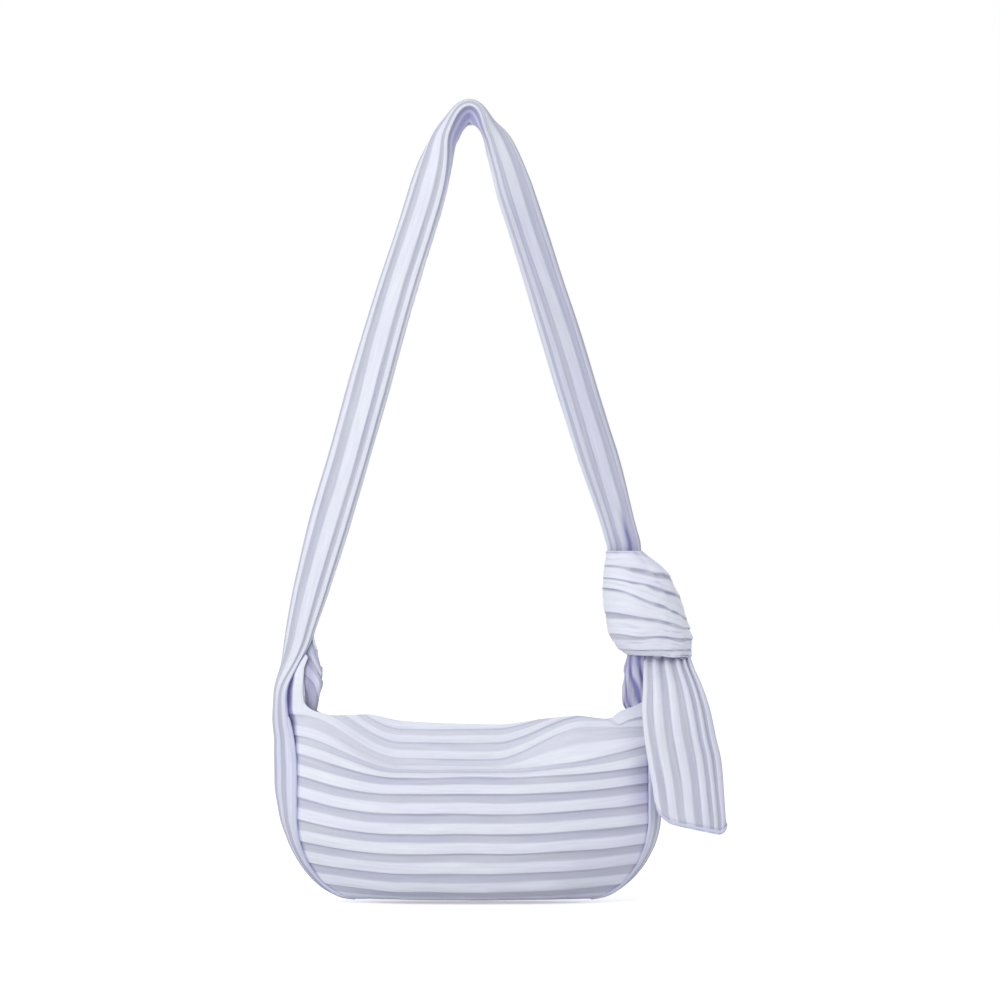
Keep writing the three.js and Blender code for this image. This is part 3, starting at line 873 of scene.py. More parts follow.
@dataclass
class PanelDrape:
    """How one broad panel hangs.

    Attributes:
        face: which panel it is.
        middle: height of each stripe in the middle.
        left: how much higher it is at the left seam.
        right: how much higher it is at the right seam.
        edge: height of the mouth's edge across the panel.
        depth: distance from the middle plane by stripe, in the middle.
        shelf: how many stripes the slack fold climbs towards the sides.
        ear: how far the raised left corner leans in, by height.
        seed: start of its irregular waves.
        corner_line: lower edge of the white fold at the right corner, by share across.
        corner_stripe: stripe count that the fold shows.
        outline: the seam line at its sides.
        base_stripe: stripe count at the base seam.
        even_top: stripe count up to which the grid rows follow the stripes.
        even_share: share of the grid rows below it.
        row_draw: how far the grid rows draw together at the pleats' free edges.
        left_from: share across where the pull of the left seam starts.
        right_from: share across where the pull of the right seam starts.
        bow: power by which the panel bows out between its seams.
        slack: depth of its slow waves.
        corner_tuck: how far its raised corners lie back.
        seam_tuck: how far it tucks in at the seams.
        pleat_rise: height of the pressed pleats.
        stripe_round: roundness of the stripes between the pleats' edges.
        crumple: height of the small crumples.
        slit_shade: painted shade in the open slit at the front left.
        groove_shade: painted shade in the grooves along the other seams.
        tail_shadow: painted shadow of the tail on the panel beside it.
        away_shade: painted shade of the side away from the light.
        base_shade: painted shade at the base.
        mouth_pale: how far the stripes fade to white near the mouth.
        tops: stripe counts at the mouth's edge found so far, by share across.
    """

    face: Face
    middle: Curve
    left: Curve
    right: Curve
    edge: Curve
    depth: Curve
    shelf: float
    ear: Curve
    seed: int
    corner_line: Curve
    corner_stripe: float = 11.0
    outline: Outline = Outline()
    base_stripe: float = -1.1
    even_top: float = 9.0 - LIP
    even_share: float = 0.78
    row_draw: float = 0.6
    left_from: float = -0.4
    right_from: float = 0.1
    bow: float = 2.6
    slack: float = 1.3
    corner_tuck: float = 2.5
    seam_tuck: float = 2.2
    pleat_rise: float = 1.3
    stripe_round: float = 0.25
    crumple: float = 0.5
    slit_shade: float = 0.95
    groove_shade: float = 0.4
    tail_shadow: float = 0.42
    away_shade: float = 0.08
    base_shade: float = 0.2
    mouth_pale: float = 0.45
    tops: dict[float, float] = field(default_factory=dict)

    def height(self, u: float, stripe: float) -> float:
        """Finds how high a stripe lies.

        Args:
            u: share across the panel, from -1 to 1.
            stripe: stripe count from the base.

        Returns:
            Its height over the base.
        """
        from_left = max((self.left_from - u) / (1.0 + self.left_from), 0.0)
        from_right = max((u - self.right_from) / (1.0 - self.right_from), 0.0)
        left_pull = lerp(from_left ** 2.0, smooth(0.0, 1.0, from_left), smooth(5.5, 8.5, stripe))
        right_pull = lerp(from_right ** 2.0, smooth(0.12, 0.64, u), smooth(7.6, 8.7, stripe))
        waver = 0.9 * wander(3.2 * u, 0.45 * stripe, self.seed) * (1.0 - u * u) * smooth(0.5, 2.0, stripe)
        return self.middle(stripe) + self.left(stripe) * left_pull + self.right(stripe) * right_pull + waver

    def top_stripe(self, u: float) -> float:
        """Finds the mouth's edge, once for each share across.

        Args:
            u: share across the panel.

        Returns:
            The stripe count at the edge.
        """
        if u not in self.tops:
            self.tops[u] = self._find_top(u)
        return self.tops[u]

    def _find_top(self, u: float) -> float:
        """Finds the stripe that lies as high as the edge, by halving.

        Args:
            u: share across the panel.

        Returns:
            The stripe count.
        """
        low, high = 6.0, 15.0
        target = self.edge(u)
        for _ in range(26):
            middle = 0.5 * (low + high)
            if self.height(u, middle) < target:
                low = middle
            else:
                high = middle
        return low

    def surface(self, u: float, stripe: float) -> tuple[Vector, float]:
        """Finds a place on the panel.

        Args:
            u: share across the panel, from -1 to 1.
            stripe: stripe count from the base.

        Returns:
            The place and the painted shade there.
        """
        height = max(self.height(u, stripe), 0.3)
        side = Side.LEFT if u < 0.0 else Side.RIGHT
        x = lerp(BAG_SHIFT + u * self.outline.half(height), self.outline.edge_x(side, height), abs(u) ** 40)
        x += self.ear(height) * smooth(-0.86, -0.95, u)
        y = self.face.value * self._stand_out(u, stripe, height)
        return Vector((x, y, BASE_Z + height)), self._shade(u, stripe, height)

    def _stand_out(self, u: float, stripe: float, height: float) -> float:
        """Finds how far the panel stands out from the bag's middle plane.

        Args:
            u: share across the panel.
            stripe: stripe count from the base.
            height: height over the base.

        Returns:
            The distance.
        """
        climb = self.shelf * abs(u) ** 1.5 * smooth(4.5, 6.5, stripe)
        free = self.depth(stripe - climb)
        free += self.slack * wander(2.6 * u, 0.5 * stripe, self.seed + 3) * smooth(0.5, 3.0, stripe)
        side = Side.LEFT if u < 0.0 else Side.RIGHT
        seam = min(self.outline.depth(side, height), free + 30.0 * smooth(0.0, 2.0, stripe))
        depth = lerp(seam, free, 1.0 - abs(u) ** self.bow)
        depth -= self.corner_tuck * smooth(126.0, 136.0, height) * smooth(0.86, 0.95, abs(u))
        depth -= self.seam_tuck * smooth(0.976, 1.0, abs(u)) * smooth(2.0, 20.0, height)
        return depth

    def _shade(self, u: float, stripe: float, height: float) -> float:
        """Finds the painted shade: in the grooves, beside the tail, away from the light and at the base, less
        near the mouth.

        Args:
            u: share across the panel.
            stripe: stripe count from the base.
            height: height over the base.

        Returns:
            The painted shade.
        """
        # Painted shade: darker in the seam grooves and the open slit, the tail's shadow beside it, the side
        # away from the light and the base
        groove = smooth(lerp(0.960, 0.978, smooth(116.0, 130.0, height)), 0.988, abs(u))
        open_slit = u < 0.0 and self.face is Face.FRONT
        groove *= (self.slit_shade if open_slit else self.groove_shade) * smooth(178.0, 160.0, height)
        beside_tail = self.tail_shadow * smooth(0.82, 1.0, u) * bump(84.0, 30.0, height)
        away = self.away_shade * smooth(0.2, 1.0, u)
        pale = self.mouth_pale * smooth(6.0, 8.5, stripe) * (1.0 - groove)
        return groove + beside_tail + away + self.base_shade * smooth(0.8, -0.2, stripe) - pale

    def spot(self, u: float, v: float) -> Spot:
        """Finds a point of the panel with its pleats.

        Args:
            u: share across the panel, from -1 to 1.
            v: grid place from the base to the mouth, from -1 to 1.

        Returns:
            The point.
        """
        share = 0.5 * (v + 1.0)
        stripe = self.row_stripe(u, share)
        place, shade = self.surface(u, stripe)
        pulled = stripe - 0.96 * smooth(-0.90, -0.94, u) * max(stripe - 9.1, 0.0)
        flat = smooth(1.0, 0.95, abs(u)) * smooth(-0.6, 0.4, stripe) * smooth(1.0, 0.975, share)
        pressed = 1.0 + 0.5 * wander(2.2 * u, 0.7 * round(stripe + LIP), self.seed + 5)
        pressed *= lerp(1.0, 0.6, smooth(6.8, 8.6, stripe))
        pleat = self.pleat_rise * pressed * knife(pulled, 0.1)
        pleat += self.stripe_round * math.cos(math.tau * pulled)
        pleat += self.crumple * wander(5.0 * u, 2.6 * stripe, self.seed + 6)
        over = self.corner_over(u, place.z - BASE_Z)
        shown = lerp(pulled, self.corner_stripe, over)
        relief = lerp(pleat * lerp(0.25, 1.0, flat), 1.0, over)
        # Painted shadow: a dark line along the lower edge of the white fold at the right corner
        line = 4.0 * over * (1.0 - over)
        return Spot(place, shown, place.x / PITCH, relief, shade + 0.5 * line)

    def row_stripe(self, u: float, share: float) -> float:
        """Finds the stripe of a grid row, closer together at the pleats' free edges.

        Args:
            u: share across the panel.
            share: share of the rows from the base to the mouth.

        Returns:
            The stripe count.
        """
        top = self.top_stripe(u)
        even_end = min(self.even_top, top - 0.3)
        below = min(share / self.even_share, 1.0)
        above = max((share - self.even_share) / (1.0 - self.even_share), 0.0)
        return lerp(towards_lip(lerp(self.base_stripe, even_end, below), self.row_draw), top, above)

    def corner_over(self, u: float, height: float) -> float:
        """Share from 0 below to 1 above the lower edge of the white fold at the panel's right corner."""
        line = self.corner_line(u)
        return smooth(line - 0.9, line + 0.9, height)

    def inner(self, u: float, v: float, low: float, high: float, inset: float) -> Spot:
        """Finds a point of a layer inside the panel.

        Args:
            u: share across the panel.
            v: grid place up the layer, from -1 to 1.
            low: how many stripes under the mouth's edge it starts.
            high: how many stripes under the edge it ends.
            inset: how far it lies inside the panel.

        Returns:
            The point.
        """
        top = self.top_stripe(u)
        stripe = lerp(max(top - low, self.base_stripe), top - high, 0.5 * (v + 1.0))
        place, _ = self.surface(u, stripe)
        return Spot(place, stripe, place.x / PITCH, -inset, 0.0)


# Both panels start alike at the base: how high their stripes lie, and how far they stand out
BASE_RISE: Line = ((-1.1, 0.3), (-0.35, 0.3), (0, 1.0), (0.5, 4.6), (1, 9.8))
BASE_DEPTH: Line = ((-1.1, 0.4), (-0.35, 9.5), (0, 14.5), (0.5, 20.5), (1, 25.5), (2, 32.0), (3, 35.0))

FRONT_DRAPE = PanelDrape(
    face=Face.FRONT,
    middle=Curve(
        *BASE_RISE, (2, 23.2), (4, 49.6), (6, 75.9), (7, 85.4), (8, 89.4), (9, 98.2), (10, 109.0),
        (11, 118.0), (13, 140.0),
    ),
    left=Curve(
        (-1.1, 0.0), (-0.35, 0.4), (0, 2.0), (1, 5.4), (2.7, 8.4), (4, 10.5), (6, 13.5), (8, 25.0),
        (9, 31.0), (11, 36.0), (13, 39.0),
    ),
    right=Curve(
        (-1.1, 0.0), (-0.35, 0.3), (0, 1.4), (1, 4.6), (2.65, 6.3), (4, 6.8), (6, 7.2), (6.735, 8.0),
        (7.735, 17.5), (8.735, 21.0), (10, 17.0), (11, 13.0), (13, 10.0),
    ),
    edge=Curve(
        (-1.0, 166.0), (-0.962, 163.0), (-0.945, 134.0), (-0.92, 129.5), (-0.885, 127.2), (-0.77, 124.5),
        (-0.6, 125.2), (-0.4, 120.8), (-0.12, 119.1), (0.15, 118.5), (0.36, 121.5), (0.56, 123.9),
        (0.77, 122.1), (0.83, 127.0), (0.93, 131.3), (1.0, 136.0),
    ),
    depth=Curve(
        *BASE_DEPTH, (4, 35.8), (5, 35.2), (6, 32.5), (7, 26.5), (8, 17.5), (8.6, 15.0), (9.3, 14.4),
        (10, 14.0), (11.2, 12.5), (15, 8.0),
    ),
    shelf=1.4,
    ear=Curve((120, 0.0), (150, 0.0), (158, 2.0), (163, 4.5), (168, 8.0)),
    seed=2,
    corner_line=Curve(
        (-1.0, 300.0), (0.5, 190.0), (0.70, 134.0), (0.765, 122.5), (0.825, 117.6), (0.88, 120.5),
        (1.0, 124.0),
    ),
)

BACK_DRAPE = PanelDrape(
    face=Face.BACK,
    middle=Curve(
        *BASE_RISE, (2, 23.0), (4, 48.0), (6, 71.0), (8, 92.0), (10, 111.0), (11, 120.0), (13, 138.0),
    ),
    left=Curve((-1.1, 0.0), (0, 0.0), (4, 7.5), (6, 13.0), (8, 22.0), (9, 31.0), (11, 52.0), (13, 60.0)),
    right=Curve((-1.1, 0.0), (0, 0.0), (4, 5.0), (6, 9.0), (8, 18.0), (10, 26.0), (13, 34.0)),
    edge=Curve(
        (-1.0, 152.0), (-0.96, 147.0), (-0.93, 134.0), (-0.88, 126.0), (-0.8, 121.5), (-0.5, 117.5),
        (0.0, 115.5), (0.5, 117.5), (0.8, 121.5), (0.9, 128.5), (0.96, 133.0), (1.0, 138.0),
    ),
    depth=Curve(
        *BASE_DEPTH, (4, 35.6), (5, 34.6), (6, 32.0), (7, 28.2), (8, 23.6), (9, 19.0), (10, 15.4),
        (11.2, 13.0), (15, 8.0),
    ),
    shelf=0.4,
    ear=Curve((120, 0.0), (170, 0.0)),
    seed=9,
    corner_line=Curve((-1.0, 300.0), (0.5, 190.0), (0.70, 134.0), (0.78, 121.0), (0.84, 118.0), (1.0, 125.0)),
)


@dataclass
class BagPanel:
    """One broad panel with its facing and lining.

    Attributes:
        drape: how it hangs.
        panel_grid: grid steps across and up the panel.
        facing_grid: the same of the facing.
        lining_grid: the same of the lining.
        panel_flat: width and height of the panel laid flat, in metres; not used.
        facing_flat: the same of the facing; not used.
        lining_flat: the same of the lining; not used.
        facing_low: how many stripes under the mouth's edge the facing starts.
        facing_high: how many stripes under the edge it ends.
        facing_share: share of the panel's width that it takes.
        facing_gap: room between the panel and the facing.
        facing_thick: thickness of the facing.
        lining_low: how many stripes under the edge the lining starts, more than there are: at the base.
        lining_lap: how many stripes the lining reaches up behind the facing.
        lining_share: share of the panel's width that it takes.
        lining_gap: room between the panel and the lining.
        lining_thick: thickness of the lining.
    """

    drape: PanelDrape
    panel_grid: tuple[int, int] = (150, 320)
    facing_grid: tuple[int, int] = (120, 16)
    lining_grid: tuple[int, int] = (120, 90)
    panel_flat: tuple[float, float] = (0.25, 0.165)
    facing_flat: tuple[float, float] = (0.235, 0.027)
    lining_flat: tuple[float, float] = (0.23, 0.135)
    facing_low: float = 2.0
    facing_high: float = 0.12
    facing_share: float = 0.955
    facing_gap: float = 0.5
    facing_thick: float = 0.7
    lining_low: float = 99.0
    lining_lap: float = 0.15
    lining_share: float = 0.95
    lining_gap: float = 0.9
    lining_thick: float = 0.6

    @property
    def name(self) -> str:
        """Start of the names of its pieces."""
        return self.drape.face.name.lower()

    @property
    def turn(self) -> int:
        """Way that its grids run across, so that their faces point outwards."""
        return -self.drape.face.value

    def panel_spot(self, u: float, v: float) -> Spot:
        """Point of the panel for its grid place."""
        return self.drape.spot(self.turn * towards_ends(u), v)

    def facing_spot(self, u: float, v: float) -> Spot:
        """Point of the facing for its grid place."""
        across = self.facing_share * self.turn * u
        return self.drape.inner(across, v, self.facing_low, self.facing_high, CLOTH + self.facing_gap)

    def lining_spot(self, u: float, v: float) -> Spot:
        """Point of the lining for its grid place."""
        across, high = self.lining_share * self.turn * u, self.facing_low - self.lining_lap
        return self.drape.inner(across, v, self.lining_low, high, CLOTH + self.lining_gap)

    def build(self, finishes: Finishes) -> list[bpy.types.Object]:
        """Makes the three layers and hands them to the bag's body.

        Args:
            finishes: the materials.

        Returns:
            The pieces.
        """
        name = self.name
        panel = ClothPatch(
            f"{name}_panel_cloth", (f"{name}_panel",), *self.panel_grid, self.panel_spot,
        ).build(finishes)
        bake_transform(panel, "strap_loop", "bag", start=BAG_BEND[0], end=BAG_BEND[1])
        facing = ClothPatch(
            f"{name}_facing_cloth", (f"{name}_facing",), *self.facing_grid, self.facing_spot,
            thickness=self.facing_thick,
        ).build(finishes)
        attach(facing, "bag")
        lining = ClothPatch(
            f"{name}_lining_cloth", (f"{name}_lining",), *self.lining_grid, self.lining_spot,
            slot=Slot.LINING, thickness=self.lining_thick,
        ).build(finishes)
        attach(lining, "bag")
        return [panel, facing, lining]


class Station(NamedTuple):
    """Section of a pleated strip at one place of its route.

    Attributes:
        centre: middle of the section.
        outward: direction away from the bag or the loop.
        half_width: half of the folded width, along outward.
        half_thick: half of the folded thickness.
        bulge: how far the open strip stands out between its seams.
        half_open: half of the open strip's depth.
        closed: share of the folded form, 0 open and 1 folded.
        turn: twist of the section, front edge up.
    """

    centre: Vector
    outward: Vector
    half_width: float
    half_thick: float
    bulge: float
    half_open: float
    closed: float
    turn: float


class Route:
    """Smooth flat route through points in the bag's middle plane."""

    def __init__(self, points: list[tuple[float, float]]) -> None:
        """Lays the route.

        Args:
            points: places as (across, up) pairs.
        """
        lengths = [0.0]
        for before, after in zip(points, points[1:]):
            lengths.append(lengths[-1] + math.dist(before, after))
        self.length = lengths[-1]
        self.across = Curve(*zip(lengths, [point[0] for point in points]))
        self.up = Curve(*zip(lengths, [point[1] for point in points]))

    def at(self, length: float) -> Vector:
        """Point at a length along the route."""
        return Vector((self.across(length), 0.0, self.up(length)))

    def outward(self, length: float) -> Vector:
        """Direction square to the route, to its left as it runs."""
        ahead = self.at(length + 3.0) - self.at(length - 3.0)
        return Vector((-ahead.z, 0.0, ahead.x)).normalized()

    def first_at(self, height: float) -> float:
        """Finds where the route first rises to a height.

        Args:
            height: height in the frame.

        Returns:
            Length along the route.
        """
        length = 0.0
        while self.up(length) < height - 0.01 and length < self.length:
            length += 0.5
        return length


# Heights over the base through which the strips follow the seam
SEAM_HEIGHTS = (0.2, 1.0, 4.0, 9.0, 17.0, 28.0, 42.0, 57.0, 80.0, 105.0)


@dataclass
class Strip:
    """A pleated strip that starts as a gusset and folds up into a strap or a tie.

    Attributes:
        name: name of the piece.
        stands_for: the solids that it takes the place of.
        columns: grid steps across.
        rows: grid steps along.
        flip: whether its faces are turned, as on the left.
        repeats: stripe repeats in half of its width where it is open.
        gathered_repeats: the same where it is folded, with more cloth drawn in.
        stripe_shift: share across where the stripes are counted from.
        pleat_rise: height of its pleats.
        slack: height of its slow waves where it is folded.
        seam_shade: painted shade along its seams.
        seed: start of its irregular waves.
        outline: the seam line that it follows.
        stations: sections found so far, by grid place along the strip.
        path: its route.
    """

    name: str
    stands_for: tuple[str, ...]
    columns: int
    rows: int
    flip: bool = False
    repeats: float = 2.2
    gathered_repeats: float = 4.0
    stripe_shift: float = 0.47
    pleat_rise: float = 1.2
    slack: float = 0.7
    # Painted shade along the seams
    seam_shade: float = 0.35
    seed: int = 20
    outline: Outline = Outline()
    stations: dict[float, Station] = field(default_factory=dict)
    path: Route = field(init=False)

    def __post_init__(self) -> None:
        """Lays the strip's route."""
        self.path = self.route()

    def route(self) -> Route:
        """Route of the strip, given by each kind of strip."""
        raise NotImplementedError

    def station(self, length: float) -> Station:
        """Section at a length along the route, given by each kind of strip."""
        raise NotImplementedError

    def shade(self, t: float, length: float) -> float:
        """Painted shade at a place across and along the strip."""
        return 0.0

    def flare(self, t: float, height: float) -> Vector:
        """How far an edge leans in over the mouth."""
        return Vector((0.0, 0.0, 0.0))

    def crossing(self, t: float, length: float) -> float:
        """Height of the folds that cross the pleats."""
        return 0.0

    def settled(self, place: Vector) -> Vector:
        """Where a place of the strip comes to lie on what carries it."""
        return place

    def seam_points(self, side: Side, heights: tuple[float, ...]) -> list[tuple[float, float]]:
        """Places of the seam at some heights over the base."""
        return [(self.outline.edge_x(side, height), BASE_Z + height) for height in heights]

    def spot(self, t: float, v: float) -> Spot:
        """Finds a point of the strip with its pleats.

        Args:
            t: share across the strip, from -1 at the front to 1 at the back.
            v: grid place along the strip, from -1 to 1.

        Returns:
            The point.
        """
        length = 0.5 * (v + 1.0) * self.path.length
        if v not in self.stations:
            self.stations[v] = self.station(length)
        here = self.stations[v]
        drift = 0.22 * wander(0.009 * length, 1.4 * t, self.seed + 1) + 0.12 * math.sin(9.0 * t)
        stripe = lerp(self.repeats, self.gathered_repeats, here.closed) * (t + self.stripe_shift) + drift
        pleat = self.pleat_rise * knife(stripe, 0.28)
        pleat += self.slack * wander(0.02 * length, 2.4 * t, self.seed + 2) * here.closed
        pleat += self.crossing(t, length)
        edge = lerp(smooth(1.0, 0.8, abs(t)), 1.0, smooth(0.6, 1.0, here.closed))
        return Spot(self._place(t, here), stripe, length / PITCH, pleat * edge, self.shade(t, length))

    def _place(self, t: float, here: Station) -> Vector:
        """Finds a place on the strip's smooth form.

        Args:
            t: share across the strip.
            here: the section.

        Returns:
            The place.
        """
        angle = math.pi * t
        folded_out = here.half_width * wave_power(math.cos(angle), 0.75)
        folded_back = here.half_thick * wave_power(math.sin(angle), 0.6)
        open_out = here.bulge * (1.0 - abs(t) ** 2.2)
        out = lerp(open_out, folded_out, here.closed)
        back = lerp(here.half_open * t, folded_back, here.closed)
        rearward = Vector((0.0, 1.0, 0.0))
        wide = here.outward * math.cos(here.turn) + rearward * math.sin(here.turn)
        thin = rearward * math.cos(here.turn) - here.outward * math.sin(here.turn)
        place = here.centre + wide * out + thin * back
        return self.settled(place + self.flare(t, place.z - BASE_Z))

    def cloth(self, finishes: Finishes) -> bpy.types.Object:
        """Makes the strip's cloth, which bends at the bag's hinge.

        Args:
            finishes: the materials.

        Returns:
            The piece.
        """
        patch = ClothPatch(
            self.name, self.stands_for, self.columns, self.rows, self.spot, tube=True, flip=self.flip,
        )
        piece = patch.build(finishes)
        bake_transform(piece, "strap_loop", "bag", start=BAG_BEND[0], end=BAG_BEND[1])
        return piece


@dataclass
class ShoulderStrip(Strip):
    """Left gusset that runs up into the long strap, over the arch and down to the knot.

    Attributes:
        flat: width and length of the strip laid flat, in metres; not used.
        lean: how far the back edge leans in over the mouth, by height over the base.
        hook_x: where the hook's round under the arch lies, across.
        hook_half: half of that round's width.
        hook_top: its highest place.
        hook_rise: how far it falls to its sides.
        folded: half of the folded width, by length from the arch.
        bulge: how far the gusset stands out, by height over the base.
        arch_width: half of the folded width right below the arch, on the falling leg.
        full_width: half of it in the middle of that leg.
        knot_width: half of it at the knot.
        crown_width: half of the width over the arch, where the strip is turned.
        flat_thick: half of the folded thickness.
        crown_thick: half of it over the arch.
        crown_turn: how far the strip is turned over the arch, in degrees.
        apex_z: height of the route at the arch.
        root_z: height of the strap's root.
        apex: length along the route to the arch.
        root: length along the route to the strap's root.
    """

    name: str = "strap_and_gusset_cloth"
    stands_for: tuple[str, ...] = ("long_strap", "left_gusset")
    columns: int = 96
    rows: int = 510
    flip: bool = True
    flat: tuple[float, float] = (0.065, 1.02)
    lean: Curve = Curve(
        (0, 0.0), (108, 0.0), (124, 22.0), (134, 24.4), (144, 23.8), (154, 17.6), (165, 9.2), (180, 0.0),
        (600, 0.0),
    )
    hook_x: float = 0.7
    hook_half: float = 10.6
    hook_top: float = 0.2
    hook_rise: float = 24.0
    folded: Curve = Curve(
        (0, 13.4), (40, 12.6), (110, 12.6), (200, 13.6), (290, 13.4), (340, 11.6), (368, 9.4),
    )
    bulge: Curve = Curve(
        (0, 0.0), (2, 0.7), (10, 2.4), (24, 4.4), (40, 7.2), (59, 11.6), (80, 14.4), (98, 13.8), (118, 11.6),
        (140, 8.6), (180, 8.0),
    )
    arch_width: float = 9.6
    full_width: float = 13.6
    knot_width: float = 11.0
    crown_width: float = 4.0
    flat_thick: float = 4.2
    crown_thick: float = 9.4
    crown_turn: float = 50.0
    apex_z: float = 8.4
    root_z: float = -366.0
    apex: float = field(init=False)
    root: float = field(init=False)

    def __post_init__(self) -> None:
        """Lays the route and finds the arch and the strap's root on it."""
        super().__post_init__()
        self.apex = self.path.first_at(self.apex_z)
        self.root = self.path.first_at(self.root_z)

    def route(self) -> Route:
        """Leads from the gusset's tip on the base to the knot.

        Returns:
            The route.
        """
        gusset = self.seam_points(Side.LEFT, (*SEAM_HEIGHTS, 125.0))
        rising = [
            (-123.6, -384.0), (-119.5, -364.0), (-115.4, -345.6), (-107.0, -313.2), (-79.3, -216.0),
            (-51.4, -118.8), (-31.0, -54.0), (-21.5, -21.6), (-17.6, -10.8), (-11.8, -2.5),
        ]
        falling = [
            (11.2, -3.0), (17.6, -10.8), (22.6, -21.6), (33.2, -54.0), (53.6, -118.8), (78.7, -200.0),
            (101.8, -276.0), (104.2, -286.0), (104.4, -296.0),
        ]
        return Route(gusset + rising + [(-0.4, self.apex_z)] + falling)

    def station(self, length: float) -> Station:
        """Opens the strip over the gusset, folds it flat above the root and turns it over the arch.

        Args:
            length: length along the route.

        Returns:
            The section there.
        """
        height = self.path.up(length) - BASE_Z
        rising = length < self.apex
        beyond = length - self.apex
        near = bump(0.0, 34.0 if rising else 19.0, beyond)
        folded = self.folded(abs(beyond))
        if not rising:
            below_arch = lerp(self.arch_width, self.full_width, smooth(15.0, 85.0, beyond))
            above_knot = lerp(self.full_width, self.knot_width, smooth(245.0, 305.0, beyond))
            folded = min(folded, below_arch, above_knot)
        twist = (0.05 if rising else 0.3) * (1.0 - near) * smooth(150.0, 260.0, height)
        return Station(
            centre=self.path.at(length),
            outward=self.path.outward(length),
            half_width=lerp(folded, self.crown_width, near),
            half_thick=lerp(self.flat_thick, self.crown_thick, near),
            bulge=self.bulge(height) if rising else 8.0,
            half_open=self.outline.depth(Side.LEFT, min(height, 165.0)),
            closed=smooth(132.0, 178.0, height) if rising else 1.0,
            turn=math.radians(self.crown_turn) * near + twist,
        )

    def flare(self, t: float, height: float) -> Vector:
        """Stands the back edge out over the mouth at the strap's root, in a fold that comes forward.

        Args:
            t: share across the strip.
            height: height over the base.

        Returns:
            How far the edge leans.
        """
        sewn_from = lerp(1.0, 0.78, smooth(174.0, 124.0, height))
        sewn = smooth(sewn_from, sewn_from + 0.22, t)
        share = smooth(0.25, 0.75, t) * (1.0 - sewn)
        reach = self.lean(height) * share
        return Vector((reach, -0.55 * reach, 0.0))

    def settled(self, place: Vector) -> Vector:
        """Lifts the underside of the arch to the round of the hook that carries it.

        Args:
            place: a place on the strip.

        Returns:
            The place, or the one above it on the round.
        """
        share = (place.x - self.hook_x) / self.hook_half
        if abs(share) >= 1.0 or place.z < self.hook_top - self.hook_rise:
            return place
        round_z = self.hook_top - self.hook_rise * (1.0 - math.sqrt(1.0 - share * share))
        apart = place.z - round_z
        lifted = round_z + 0.5 * (apart + math.sqrt(apart * apart + 1.0))
        return Vector((place.x, place.y, lifted))

    def shade(self, t: float, length: float) -> float:
        """Finds the painted shade under the arch, along the seams, in the root's slit, on the lobe, away from
        the light and at the knot.

        Args:
            t: share across the strip.
            length: length along the route.

        Returns:
            The painted shade.
        """
        # Painted shade under the arch, in bands that let the stripes show through
        ply = 0.62 + 0.2 * math.cos(math.tau * 9.0 * t)
        reach = 48.0 if length < self.apex else 26.0
        under = ply * smooth(0.72, 0.86, abs(t)) * bump(0.0, reach, length - self.apex)
        seam = self.seam_shade * smooth(0.9, 1.0, abs(t)) * smooth(self.root, self.root - 30.0, length)
        seam *= smooth(6.0, 30.0, length)
        # Painted shade in the slit at the root, in the fold where the strap enters the knot, and on the lobe
        # behind the root
        slit = 0.8 * smooth(-0.9, -0.97, t) * bump(self.root, 22.0, length)
        end = self.path.length
        entry = 0.95 * bump(-0.45, 0.036, t) * smooth(end - 42.0, end - 14.0, length)
        lobe = (0.22 + 0.3 * bump(0.62, 0.05, t)) * smooth(0.42, 0.6, t) * bump(self.root, 30.0, length)
        # Painted shade on the falling leg and the gusset, which face away from the light, and where the strap
        # enters the knot
        away = 0.15 * smooth(self.apex + 20.0, self.apex + 90.0, length)
        away += 0.18 * smooth(self.root, self.root - 40.0, length)
        return under + seam + slit + entry + lobe + away + 0.15 * smooth(end - 26.0, end - 8.0, length)

    def build(self, finishes: Finishes) -> list[bpy.types.Object]:
        """Makes the strip, which hangs from the hook.

        Args:
            finishes: the materials.

        Returns:
            The piece.
        """
        piece = self.cloth(finishes)
        return [piece]


